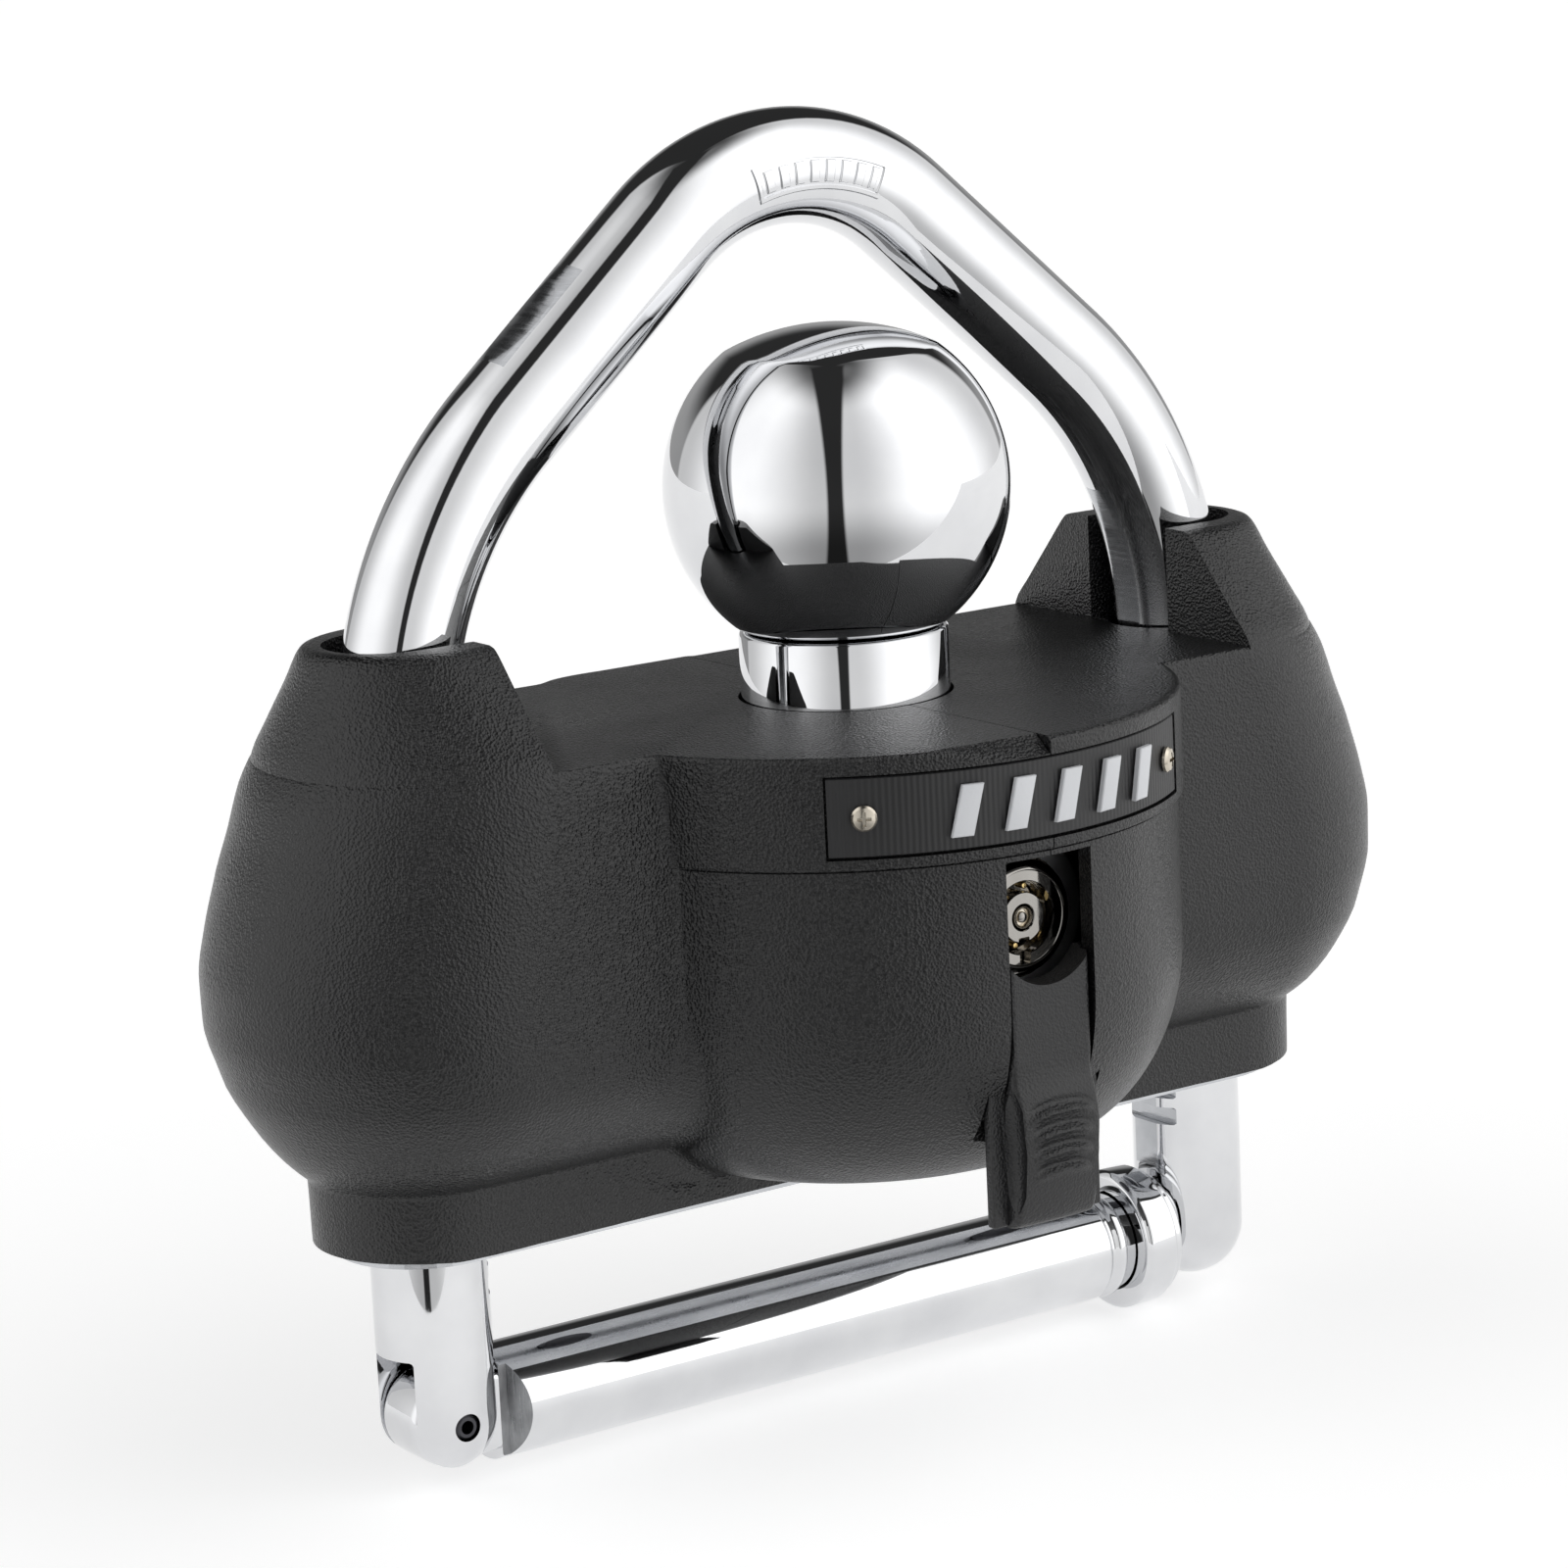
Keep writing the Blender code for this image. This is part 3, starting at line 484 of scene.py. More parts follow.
def label_material():
    """Black plate moulded with fine upright lines."""
    made, nodes, links, shader = new_material("label_black")
    place = coords(nodes)
    cloud = noise(nodes, links, place, 60.0, 3.0)
    stops = ((0.25, (0.006, 0.006, 0.0065)), (0.8, (0.011, 0.011, 0.012)))
    links.new(colour_ramp(nodes, links, cloud, stops), shader.inputs["Base Color"])
    links.new(ramp(nodes, links, cloud, 0.2, 0.8, 0.42, 0.52), shader.inputs["Roughness"])
    waves = nodes.new("ShaderNodeTexWave")
    waves.wave_type = "BANDS"
    waves.bands_direction = "X"
    waves.inputs["Scale"].default_value = 420.0
    waves.inputs["Distortion"].default_value = 0.6
    links.new(place, waves.inputs["Vector"])
    bump(nodes, links, shader, waves.outputs["Fac"], 0.5, 0.00008)
    return made


LABEL = label_material()


# ---------------------------------------------------------------- shackle
def half_path(side, leg_steps=10, bend_steps=26, arm_steps=8, apex_steps=14):
    points = [(side * LEG_X, z) for z in np.linspace(LEG_RADIUS, BEND_START_Z, leg_steps)]
    for i in range(1, bend_steps + 1):
        turn = BEND_ANGLE * i / bend_steps
        x = LEG_X - BEND_RADIUS * (1.0 - math.cos(turn))
        points.append((side * x, BEND_START_Z + BEND_RADIUS * math.sin(turn)))
    arm_x, arm_z = abs(points[-1][0]), points[-1][1]
    apex_x = APEX_RADIUS * math.cos(BEND_ANGLE)
    reach = arm_x - apex_x
    apex_start_z = arm_z + reach / math.tan(BEND_ANGLE)
    for i in range(1, arm_steps):
        t = i / arm_steps
        points.append((side * (arm_x + (apex_x - arm_x) * t), arm_z + (apex_start_z - arm_z) * t))
    centre_z = apex_start_z - APEX_RADIUS * math.sin(BEND_ANGLE)
    for i in range(apex_steps):
        turn = BEND_ANGLE + (0.5 * math.pi - BEND_ANGLE) * i / apex_steps
        points.append((side * APEX_RADIUS * math.cos(turn), centre_z + APEX_RADIUS * math.sin(turn)))
    return points, (0.0, centre_z + APEX_RADIUS)


# Degrees round the bend where the flat down the leg ends, and over which it runs out
FLAT_END_TURN = 28.0
FLAT_FADE_TURN = 14.0


def flat_depth(x, z):
    """How deep the flat milled down each leg's inner side is; it runs out on the bend."""
    if z <= BEND_START_Z:
        return LEG_FLAT_DEPTH
    turn = math.degrees(math.atan2(z - BEND_START_Z, abs(x) - LEG_X + BEND_RADIUS))
    return LEG_FLAT_DEPTH * min(max((FLAT_END_TURN - turn) / FLAT_FADE_TURN, 0.0), 1.0)


def swept_shackle(segments=96):
    left, apex = half_path(-1)
    right, _ = half_path(1)
    path = left + [apex] + right[::-1]
    rings = []
    for i, (x, z) in enumerate(path):
        before, after = path[max(i - 1, 0)], path[min(i + 1, len(path) - 1)]
        along = Vector((after[0] - before[0], 0.0, after[1] - before[1])).normalized()
        across = Vector((along.z, 0.0, -along.x))
        reach = LEG_RADIUS - flat_depth(x, z)
        ring = []
        for k in range(segments):
            turn = math.tau * k / segments
            inward = min(LEG_RADIUS * math.cos(turn), reach)
            offset = across * inward + Vector((0.0, LEG_RADIUS * math.sin(turn), 0.0))
            ring.append(Vector((x, 0.0, z)) + offset)
        rings.append(ring)
    steps = 14
    dome = [
        (math.cos(0.5 * math.pi * k / steps), LEG_RADIUS * math.sin(0.5 * math.pi * k / steps))
        for k in range(1, steps)
    ]

    def tip(ring, x, scale, drop):
        return [Vector((x + (p.x - x) * scale, p.y * scale, p.z - drop)) for p in ring]

    tips_left = [tip(rings[0], -LEG_X, s, d) for s, d in reversed(dome)]
    tips_right = [tip(rings[-1], LEG_X, s, d) for s, d in dome]
    return skin(tips_left + rings + tips_right)


def is_milled(centre, normal):
    """The flats down the legs' inner sides and the dish on the left arm."""
    x, z = abs(centre.x), centre.z
    if z < BEND_START_Z + 26.0 and abs(centre.y) < 2.75 and x < LEG_X:
        out = BEND_RADIUS - math.hypot(x - LEG_X + BEND_RADIUS, max(z - BEND_START_Z, 0.0))
        if out > LEG_RADIUS - 0.46 - 2.5 and flat_depth(x, z) > 0.03 and z > 2.0 * LEG_RADIUS:
            return True
    dish = Vector((centre.x, 0.0, z)) - ARM_DISH
    in_dish = dish.length < 9.0 and abs(centre.y) < 3.4
    return in_dish and dish.dot(ARM_OUT) < -0.02 and centre.x < 0


ARM_OUT = Vector((-math.cos(BEND_ANGLE), 0.0, math.sin(BEND_ANGLE)))
ARM_ALONG = Vector((math.sin(BEND_ANGLE), 0.0, math.cos(BEND_ANGLE)))
ARM_START = Vector(
    (
        -(LEG_X - BEND_RADIUS * (1.0 - math.cos(BEND_ANGLE))),
        0.0,
        BEND_START_Z + BEND_RADIUS * math.sin(BEND_ANGLE),
    )
)
ARM_DISH = ARM_START + ARM_ALONG * 12.0 + ARM_OUT * LEG_RADIUS
DISH_RADIUS = 41.0
DISH_DEPTH = 0.62


def build_shackle():
    shackle = swept_shackle()
    gap = CLEVIS_HALF_GAP
    cut(shackle, box(-LEG_X - 9.0, -LEG_X + 9.0, -gap, gap, -2.0, CLEVIS_TOP_Z, 0.5, 2))
    cut(shackle, rod(1.95, -9.0, 9.0, 40, "Y", (-LEG_X, 0.0, PIN_Z)))
    for side in (-1, 1):
        for k in range(-12, 3):
            z = LOCK_Z + k * NOTCH_PITCH
            near, far = sorted(side * (LEG_X - LEG_RADIUS + reach) for reach in (-3.0, 2.0))
            low, high = z - NOTCH_HALF_HEIGHT, z + NOTCH_HALF_HEIGHT
            cut(shackle, box(near, far, -9.0, 9.0, low, high, 0.25, 1))
    # a shallow dish pressed into the outer side of the left arm
    dish = ARM_DISH + ARM_OUT * (DISH_RADIUS - DISH_DEPTH)
    cut(shackle, rod(DISH_RADIUS, -9.0, 9.0, 240, "Y", (dish.x, 0.0, dish.z)))
    paint(shackle, 1, is_milled)
    looks = (CHROME, "chrome", ("shackle",), 30.0, 0.2, (MILLED,))
    piece(shackle, "shackle_detailed", "shackle", *looks)

    outer, inner = HINGE_PIN_RADIUS, 0.95
    half = 7.6
    profile = [(outer, -half + 0.3), (outer - 0.3, -half), (inner, -half), (inner, half)]
    profile += [(outer - 0.3, half), (outer, half - 0.3)]
    pin = lathe(profile, 40, "Y", (-LEG_X, 0.0, PIN_Z))
    piece(pin, "hinge_pin_detailed", "shackle", DARK_STEEL, "dark_steel", ("hinge_pin",))
    build_stamp()


STAMP_TURNS = (-17.5, 23.5)
STAMP_HEIGHTS = (-3.0, 2.1)
STAMP_RELIEF = 0.3
STAMP_BAR_PITCH = 2.55
STAMP_BAR_WIDTH = 1.45


def build_stamp():
    """A raised frame with plain upright bars on the front of the bend."""
    _, (_, apex_z) = half_path(1)
    middle_z = apex_z - APEX_RADIUS
    first, last = (math.radians(turn) for turn in STAMP_TURNS)
    low, high = STAMP_HEIGHTS
    along, up = 260, 46
    length = APEX_RADIUS * (last - first)

    def rise(u, v):
        edge = min(u, length - u, v - low, high - v)
        frame_rise = fade(0.42 - abs(edge - 0.3), 0.16) if edge > 0 else 0.0
        bar = (u - 1.5) % STAMP_BAR_PITCH
        in_height = min(v - low, high - v) - 1.05
        inside = min(bar, STAMP_BAR_WIDTH - bar, in_height, u - 1.4, length - 1.4 - u)
        return STAMP_RELIEF * max(frame_rise, fade(inside, 0.16))

    front, back = [], []
    for i in range(along + 1):
        u = length * i / along
        turn = first + (last - first) * i / along
        outside, inside = [], []
        for k in range(up + 1):
            v = low + (high - low) * k / up
            surface = -math.sqrt(LEG_RADIUS**2 - v * v)
            x, z = (APEX_RADIUS + v) * math.sin(turn), middle_z + (APEX_RADIUS + v) * math.cos(turn)
            outside.append((x, surface + 0.03 - rise(u, v), z))
            inside.append((x, surface + 0.6, z))
        front.append(outside)
        back.append(inside)
    piece(slab_between(front, back), "stamp_frame", "shackle", CHROME, "chrome", (), 60.0)


def fade(distance, width):
    """0 outside, 1 inside, with a soft step of this width."""
    t = min(max(distance / width + 0.5, 0.0), 1.0)
    return t * t * (3.0 - 2.0 * t)


def is_rough_cut(centre, normal):
    """The slanting cuts beside the crossbar's tongue."""
    near = -59.0 < centre.x < -54.9 and abs(centre.y) > 4.5
    return near and abs(normal.y) > 0.5 and abs(normal.z) < 0.1


def build_crossbar():
    start, neck = CROSSBAR_START_X, CROSSBAR_NECK_X
    cheek = TONGUE_HALF
    profile = [
        (0.0, start),
        (LEG_RADIUS, start),
        (LEG_RADIUS, neck - 4.8),
        (LEG_RADIUS - 0.8, neck - 4.2),
        (LEG_RADIUS - 0.8, neck - 3.7),
        (LEG_RADIUS, neck - 3.1),
        (LEG_RADIUS, neck - 2.0),
        (LEG_RADIUS - 0.75, neck - 1.5),
        (7.2, neck - 1.0),
        (7.2, CROSSBAR_END_X - 0.6),
        (6.6, CROSSBAR_END_X),
        (0.0, CROSSBAR_END_X),
    ]
    bar = lathe(rounded(profile, 0.35), 96, "X", (0.0, 0.0, PIN_Z))
    for side in (-1, 1):
        corners = ((-60.0, cheek), (-57.3, cheek), (-55.0, 8.6), (-60.0, 8.6))
        wedge = skin([[(x, side * y, z) for x, y in corners] for z in (-2.0, 18.0)])
        cut(bar, wedge)
    corners = [(0.0, -cheek), (TONGUE_RADIUS, -cheek), (TONGUE_RADIUS, cheek), (0.0, cheek)]
    tongue = lathe(rounded(corners, 1.6, 5), 64, "Y", (-LEG_X, 0.0, PIN_Z))
    half, low, high = cheek - 0.01, PIN_Z - 5.6, PIN_Z + 5.6
    join(tongue, box(-LEG_X, start + 2.0, -half, half, low, high, 1.0, 4))
    join(bar, tongue)
    cut(bar, rod(2.0, -9.0, 9.0, 40, "Y", (-LEG_X, 0.0, PIN_Z)))
    paint(bar, 1, is_rough_cut)
    looks = (CHROME, "chrome", ("crossbar",), 30.0, 0.0, (ROUGH_CUT,))
    piece(bar, "crossbar_detailed", "crossbar", *looks)

    profile = [
        (7.5, 49.8),
        (9.7, 49.8),
        (10.4, 50.5),
        (10.4, 54.9),
        (9.65, 55.3),
        (9.65, 56.3),
        (9.1, 56.8),
        (7.5, 56.8),
    ]
    ring = rounded(profile, 0.3)
    collar = lathe(ring, 80, "X", (0.0, 0.0, PIN_Z))
    piece(collar, "collar_detailed", "crossbar", CHROME, "chrome", ("crossbar_collar",), 40.0)


# ---------------------------------------------------------------- cover halves
def smooth_curve(table, z):
    """Values between the rows of a section table, on a curve that never overshoots."""
    x, columns = table[:, 0], table[:, 1:]
    step = np.diff(x)[:, None]
    slope = np.diff(columns, axis=0) / step
    tangent = np.zeros_like(columns)
    both = slope[:-1] * slope[1:]
    inner = np.where(both > 0, 2.0 * both / (slope[:-1] + slope[1:] + 1e-12), 0.0)
    tangent[1:-1] = inner
    tangent[0], tangent[-1] = slope[0], slope[-1]
    i = int(np.clip(np.searchsorted(x, z, "right") - 1, 0, len(x) - 2))
    h = x[i + 1] - x[i]
    t = (z - x[i]) / h
    a = 2 * t**3 - 3 * t**2 + 1
    b = t**3 - 2 * t**2 + t
    c = -2 * t**3 + 3 * t**2
    d = t**3 - t**2
    return a * columns[i] + b * h * tangent[i] + c * columns[i + 1] + d * h * tangent[i + 1]


CENTRE_Y = -5.0


def ray_circle(angle, cx, cy, radius):
    """How far a ray from the body's middle runs to the far side of a circle."""
    dx, dy = np.cos(angle), np.sin(angle)
    px, py = -cx, CENTRE_Y - cy
    b = px * dx + py * dy
    c = px * px + py * py - radius * radius
    root = b * b - c
    return np.where(root > 0, -b + np.sqrt(np.maximum(root, 0.0)), 0.0)


def slab_reach(angle, half_depth, inset):
    """How far a ray from the body's middle runs to the outline of the long slab."""
    dx, dy = np.cos(angle), np.sin(angle)
    end = LEG_X - inset
    flat = (np.sign(dy) * half_depth - CENTRE_Y) / np.where(np.abs(dy) < 1e-9, 1e-9, dy)
    on_flat = np.abs(flat * dx) <= end
    round_end = ray_circle(angle, np.copysign(end, dx), 0.0, half_depth)
    return np.where(on_flat, flat, round_end)


def drum_radius(z, offset=0.0):
    if z >= BAND_BOTTOM_Z:
        return BAND_RADIUS - offset
    if z >= BOWL_TOP_Z:
        return DRUM_RADIUS - offset
    depth = BOWL_TOP_Z - BOWL_BOTTOM_Z
    fall = min((BOWL_TOP_Z - z) / depth, 1.0)
    spread = (DRUM_RADIUS - BOWL_FLAT_RADIUS) * math.sqrt(max(1.0 - fall**2, 0.0))
    return BOWL_FLAT_RADIUS + spread - offset


def drum_reach(angle, radius, back_y):
    reach = ray_circle(angle, 0.0, DRUM_Y, radius)
    dy = np.sin(angle)
    wall = np.where(dy > 1e-6, (back_y - CENTRE_Y) / np.maximum(dy, 1e-6), 1e6)
    return smooth_min(reach, wall, 3.0)


def smooth_max(a, b, k):
    h = np.clip(0.5 + 0.5 * (a - b) / k, 0.0, 1.0)
    return b + (a - b) * h + k * h * (1.0 - h) * 0.5


def smooth_min(a, b, k):
    return -smooth_max(-a, -b, k)


def outline_angles(count):
    """Directions spread evenly along the body's outline rather than by angle."""
    dense = np.linspace(0.0, math.tau, 4001)
    reach = smooth_max(slab_reach(dense, 29.0, 1.2), drum_reach(dense, DRUM_RADIUS, DRUM_BACK_Y), 3.0)
    x, y = reach * np.cos(dense), reach * np.sin(dense)
    along = np.concatenate([[0.0], np.cumsum(np.hypot(np.diff(x), np.diff(y)))])
    return np.interp(np.linspace(0.0, along[-1], count + 1)[:-1] + 1e-4, along, dense)


def body_solid(count, offset, levels):
    """The slab with the drum blended into its front; offset draws it inside the wall."""
    angle = outline_angles(count)
    rings = []
    for z, drum, blend, inset_edge in levels:
        half_depth, inset = smooth_curve(SLAB_SECTIONS, z)
        reach = slab_reach(angle, half_depth - offset, inset)
        if drum > 0.0:
            other = drum_reach(angle, drum, DRUM_BACK_Y - offset)
            reach = smooth_max(reach, other, blend)
        reach = reach - inset_edge * np.where(np.cos(angle) > 0.0, 1.9, 0.7)
        rings.append(
            [(r * math.cos(t), CENTRE_Y + r * math.sin(t), z) for r, t in zip(reach, angle)]
        )
    return skin(rings)


def outer_levels():
    levels = [(z, 0.0, 1.0, 0.0) for z in (32.0, 32.12, 32.25, 32.5, 32.8, 33.4, 35.0)]
    steps = 22
    for i in range(steps + 1):
        turn = 0.5 * math.pi * (1.0 - i / steps)
        z = BOWL_TOP_Z - (BOWL_TOP_Z - BOWL_BOTTOM_Z) * math.sin(turn)
        blend = 2.0 + 9.0 * min(1.0, (BOWL_TOP_Z - z) / 14.0)
        levels.append((z, drum_radius(z), blend, 0.0))
    for z in (42.0, 42.6, 43.0, 43.4, 43.9, 44.5, 45.3, 46.2):
        levels.append((z, drum_radius(z), 11.0, 0.0))
    for z in np.linspace(BOWL_TOP_Z + 1.2, BAND_BOTTOM_Z - 0.8, 16):
        levels.append((float(z), DRUM_RADIUS, 2.0, 0.0))
    for z, radius in (
        (BAND_BOTTOM_Z - 0.35, DRUM_RADIUS),
        (BAND_BOTTOM_Z - 0.2, DRUM_RADIUS - 0.15),
        (BAND_BOTTOM_Z - 0.05, DRUM_RADIUS - 0.1),
        (BAND_BOTTOM_Z, DRUM_RADIUS + 0.2),
        (BAND_BOTTOM_Z + 0.1, BAND_RADIUS - 0.15),
        (BAND_BOTTOM_Z + 0.35, BAND_RADIUS),
    ):
        levels.append((z, radius, 2.0, 0.0))
    for z in np.linspace(BAND_BOTTOM_Z + 1.5, DECK_Z - 0.7, 10):
        levels.append((float(z), BAND_RADIUS, 1.6, 0.0))
    edge = 0.7
    for i in range(1, 6):
        turn = 0.5 * math.pi * i / 5
        z = DECK_Z - edge + edge * math.sin(turn)
        levels.append((z, BAND_RADIUS, 1.6, edge * (1 - math.cos(turn))))
    return sorted(levels, key=lambda row: row[0])


def inner_levels():
    levels = [(z, 0.0, 1.0, 0.0) for z in (30.0, 34.0, 39.0)]
    for z in np.linspace(BOWL_BOTTOM_Z + WALL + 0.2, BOWL_TOP_Z, 10):
        lower = BOWL_TOP_Z - (BOWL_TOP_Z - z) * (BOWL_TOP_Z - BOWL_BOTTOM_Z) / (
            BOWL_TOP_Z - BOWL_BOTTOM_Z - WALL
        )
        levels.append((float(z), drum_radius(lower, WALL), 4.0, 0.0))
    for z in np.linspace(BOWL_TOP_Z + 2.0, DECK_Z - 3.0, 8):
        levels.append((float(z), DRUM_RADIUS - WALL, 2.0, 0.0))
    return sorted(levels, key=lambda row: row[0])


def tower(side, count=150):
    """One tower: the slab's end carried up to a narrower rim, cut off square towards the ball."""
    rings = []
    rim = [DECK_Z, 113.2, 113.7, 114.0, 114.2, 114.35, 114.45, 114.5]
    levels = sorted(set(np.linspace(90.0, 112.8, 22).tolist() + rim))
    for z in levels:
        half_depth, inset = smooth_curve(TOWER_SECTIONS, z)
        end = LEG_X - inset
        ring = []
        for i in range(count):
            turn = math.tau * (i + 0.5) / count
            x = math.copysign(end, math.cos(turn)) + half_depth * math.cos(turn)
            ring.append((x, half_depth * math.sin(turn), z))
        rings.append(ring)
    made = skin(rings)
    keep = box(TOWER_FACE_X, 120.0, -60.0, 60.0, 80.0, 130.0)
    if side < 0:
        moved(keep, Matrix.Diagonal((-1.0, 1.0, 1.0, 1.0)))
    return combine(made, [keep], "INTERSECT")


def sector(inner, outer, z0, z1, angle, steps, bevel=0.0):
    rings = []
    for i in range(steps + 1):
        turn = math.radians(-angle + 2.0 * angle * i / steps)
        corners = [(inner, z0), (outer - bevel, z0), (outer, z0 + bevel)]
        corners += [(outer, z1 - bevel), (outer - bevel, z1), (inner, z1)]
        if not bevel:
            corners = [(inner, z0), (outer, z0), (outer, z1), (inner, z1)]
        rings.append([(r * math.sin(turn), DRUM_Y - r * math.cos(turn), z) for r, z in corners])
    return skin(rings)


def radial(obj, angle):
    """Points a shape drawn along +Z out of the drum at the label's height."""
    turn = Matrix.Rotation(math.radians(angle), 4, "Z") @ Matrix.Rotation(math.radians(90.0), 4, "X")
    return moved(obj, Matrix.Translation((0.0, DRUM_Y, LABEL_Z)) @ turn)


def rim_dip():
    """The flat dip in the left half's rim beside the seam, down to the label."""
    corners = ((42.6, 99.65), (47.6, 99.65), (47.6, 95.72))
    dip = skin([[(x, -r, z) for r, z in corners] for x in (-26.0, 26.0)])
    turn = Matrix.Rotation(math.radians(-3.0), 4, "Z")
    return moved(dip, Matrix.Translation((0.0, DRUM_Y, 0.0)) @ turn)


def build_covers():
    count = 420
    outer = body_solid(count, 0.0, outer_levels())
    join(outer, tower(-1))
    join(outer, tower(1))
    cut(outer, body_solid(160, WALL, inner_levels()))
    for side in (-1, 1):
        cut(outer, rod(LEG_BORE_RADIUS, 80.0, 125.0, 72, "Z", (side * LEG_X, 0.0, 0.0)))
        near, far = sorted((side * 50.0, side * LEG_X))
        half = LEG_BORE_RADIUS - 0.02
        cut(outer, box(near, far, -half, half, DECK_Z + 0.02, 125.0))
    cut(outer, rod(14.85, 90.0, 105.0, 96, "Z", (0.0, DRUM_Y, 0.0)))
    cut(outer, box(-SLOT_HALF_X, SLOT_HALF_X, -62.0, -48.5, 20.0, 83.5))
    cut(outer, box(-RAIL_GROOVE_HALF_X, RAIL_GROOVE_HALF_X, -52.2, -48.3, 21.0, 84.0))
    low, high = LABEL_BOTTOM_Z - 0.25, LABEL_TOP_Z + 0.25
    cut(outer, sector(LABEL_OUTER_RADIUS - 1.2, 52.0, low, high, LABEL_ANGLE + 0.4, 48))
    for side in (-1, 1):
        cut(outer, radial(rod(1.2, 38.0, 48.0, 20), side * LABEL_SCREW_ANGLE))
    for side, name in ((-1, "left_cover"), (1, "right_cover")):
        half = copy_of(outer)
        near, far = sorted((side * SEAM_HALF, side * 120.0))
        combine(half, [box(near, far, -80.0, 60.0, 0.0, 140.0)], "INTERSECT")
        if side < 0:
            cut(half, rim_dip())
        piece(half, name + "_detailed", "housing", PLASTIC, "plastic", (name,), 28.0)
    bpy.data.objects.remove(outer, do_unlink=True)


# ---------------------------------------------------------------- ball and neck
CREASE_HEIGHT = 18.8
CROWN_RADIUS = 32.9
BALL_SEAT_Z = 109.1


def build_ball():
    """The ball with its lower crown, the stud under it and the plain neck round the stud."""
    crease, crown_radius = CREASE_HEIGHT, CROWN_RADIUS
    crease_radius = math.sqrt(BALL_RADIUS**2 - crease**2)
    crown_centre = BALL_Z + crease - math.sqrt(crown_radius**2 - crease_radius**2)
    crown_angle = math.asin(crease_radius / crown_radius)
    profile = []
    for i in range(14):
        turn = crown_angle * 0.985 * i / 13
        profile.append((crown_radius * math.sin(turn), crown_centre + crown_radius * math.cos(turn)))
    start = math.acos(crease / BALL_RADIUS) * 1.01
    end = math.acos((BALL_SEAT_Z + 0.4 - BALL_Z) / BALL_RADIUS)
    for i in range(61):
        turn = start + (end - start) * i / 60
        profile.append((BALL_RADIUS * math.sin(turn), BALL_Z + BALL_RADIUS * math.cos(turn)))
    profile += [(14.0, BALL_SEAT_Z), (8.0, BALL_SEAT_Z), (8.0, 84.6), (7.0, 83.6), (0.0, 83.6)]
    ball = lathe(profile, 128, "Z", (0.0, DRUM_Y, 0.0))
    piece(ball, "ball_detailed", "housing", BALL_CHROME, "chrome", ("coupler_ball",), 24.0)

    profile = [(8.4, 96.3), (NECK_RADIUS, 96.3), (NECK_RADIUS, 108.2)]
    profile += [(NECK_RADIUS - 0.3, 108.6), (NECK_RADIUS - 0.8, 108.8), (8.4, 108.8)]
    sleeve = lathe(profile, 96, "Z", (0.0, DRUM_Y, 0.0))
    piece(sleeve, "neck_detailed", "housing", BALL_CHROME, "chrome", ("neck_sleeve",), 40.0)


# ---------------------------------------------------------------- lock, label and dust cover
def build_lock():
    here = (0.0, 0.0, LOCK_Z)
    notch = box(-0.9, 0.9, -52.0, -46.5, LOCK_Z - 6.3, LOCK_Z - 2.7, 0.12, 1)
    profile = [
        (4.95, -47.6),
        (4.95, -48.85),
        (5.05, -49.0),
        (6.35, -49.0),
        (6.45, -49.1),
        (6.55, -49.3),
        (6.7, -49.28),
        (7.7, -48.65),
        (7.8, -48.5),
        (7.8, -47.6),
    ]
    bezel = lathe(profile, 96, "Y", here)
    cut(bezel, copy_of(notch))
    piece(bezel, "lock_bezel_detailed", "housing", LOCK_CHROME, "nickel", ("lock_bezel",), 30.0)

    profile = [
        (1.8, -47.4),
        (1.8, -48.8),
        (1.9, -48.9),
        (3.3, -48.9),
        (3.4, -48.8),
        (3.4, -45.0),
        (4.65, -45.0),
        (4.65, -21.0),
        (2.8, -21.0),
        (2.8, 3.2),
        (1.8, 3.2),
    ]
    plug = lathe(profile, 96, "Y", here)
    cut(plug, notch)
    piece(plug, "plug_detailed", "plug", LOCK_CHROME, "nickel", ("lock_plug",), 30.0)

    front = LOCK_FRONT_Y
    profile = [
        (0.0, front + 0.1),
        (0.5, front + 0.12),
        (0.72, front + 0.3),
        (0.78, front + 0.75),
        (1.12, front + 0.75),
        (1.2, front + 0.1),
        (1.3, front),
        (1.42, front + 0.08),
        (1.5, front + 0.2),
        (1.5, -20.0),
        (0.0, -20.0),
    ]
    post = lathe(profile, 64, "Y", here)
    paint(post, 1, lambda centre, normal: math.hypot(centre.x, centre.z - LOCK_Z) < 0.8)
    looks = (NICKEL, "nickel", ("lock_post",), 40.0, 0.0, (LOCK_CHROME,))
    piece(post, "post_detailed", "plug", *looks)

    for i in range(TUMBLER_COUNT):
        turn = math.tau * (i + 0.5) / TUMBLER_COUNT
        x, z = TUMBLER_CIRCLE * math.sin(turn), LOCK_Z + TUMBLER_CIRCLE * math.cos(turn)
        r, front, back = TUMBLER_RADIUS, -47.0 + 0.25 * (i % 3), -45.3
        profile = rounded([(0.0, front), (r, front), (r, back), (0.0, back)], 0.16)
        pin = lathe(profile, 24, "Y", (x, 0.0, z))
        name = f"lock_pin_{i + 1}"
        piece(pin, f"pin_{i + 1}_detailed", "plug", BRASS, "brass", (name,), 40.0)


BAR_COUNT = 5
BAR_FIRST_ANGLE = -16.0
BAR_PITCH_ANGLE = 9.5
BAR_HALF_WIDTH = 1.5
BAR_HALF_HEIGHT = 3.4
BAR_SLANT = 0.25


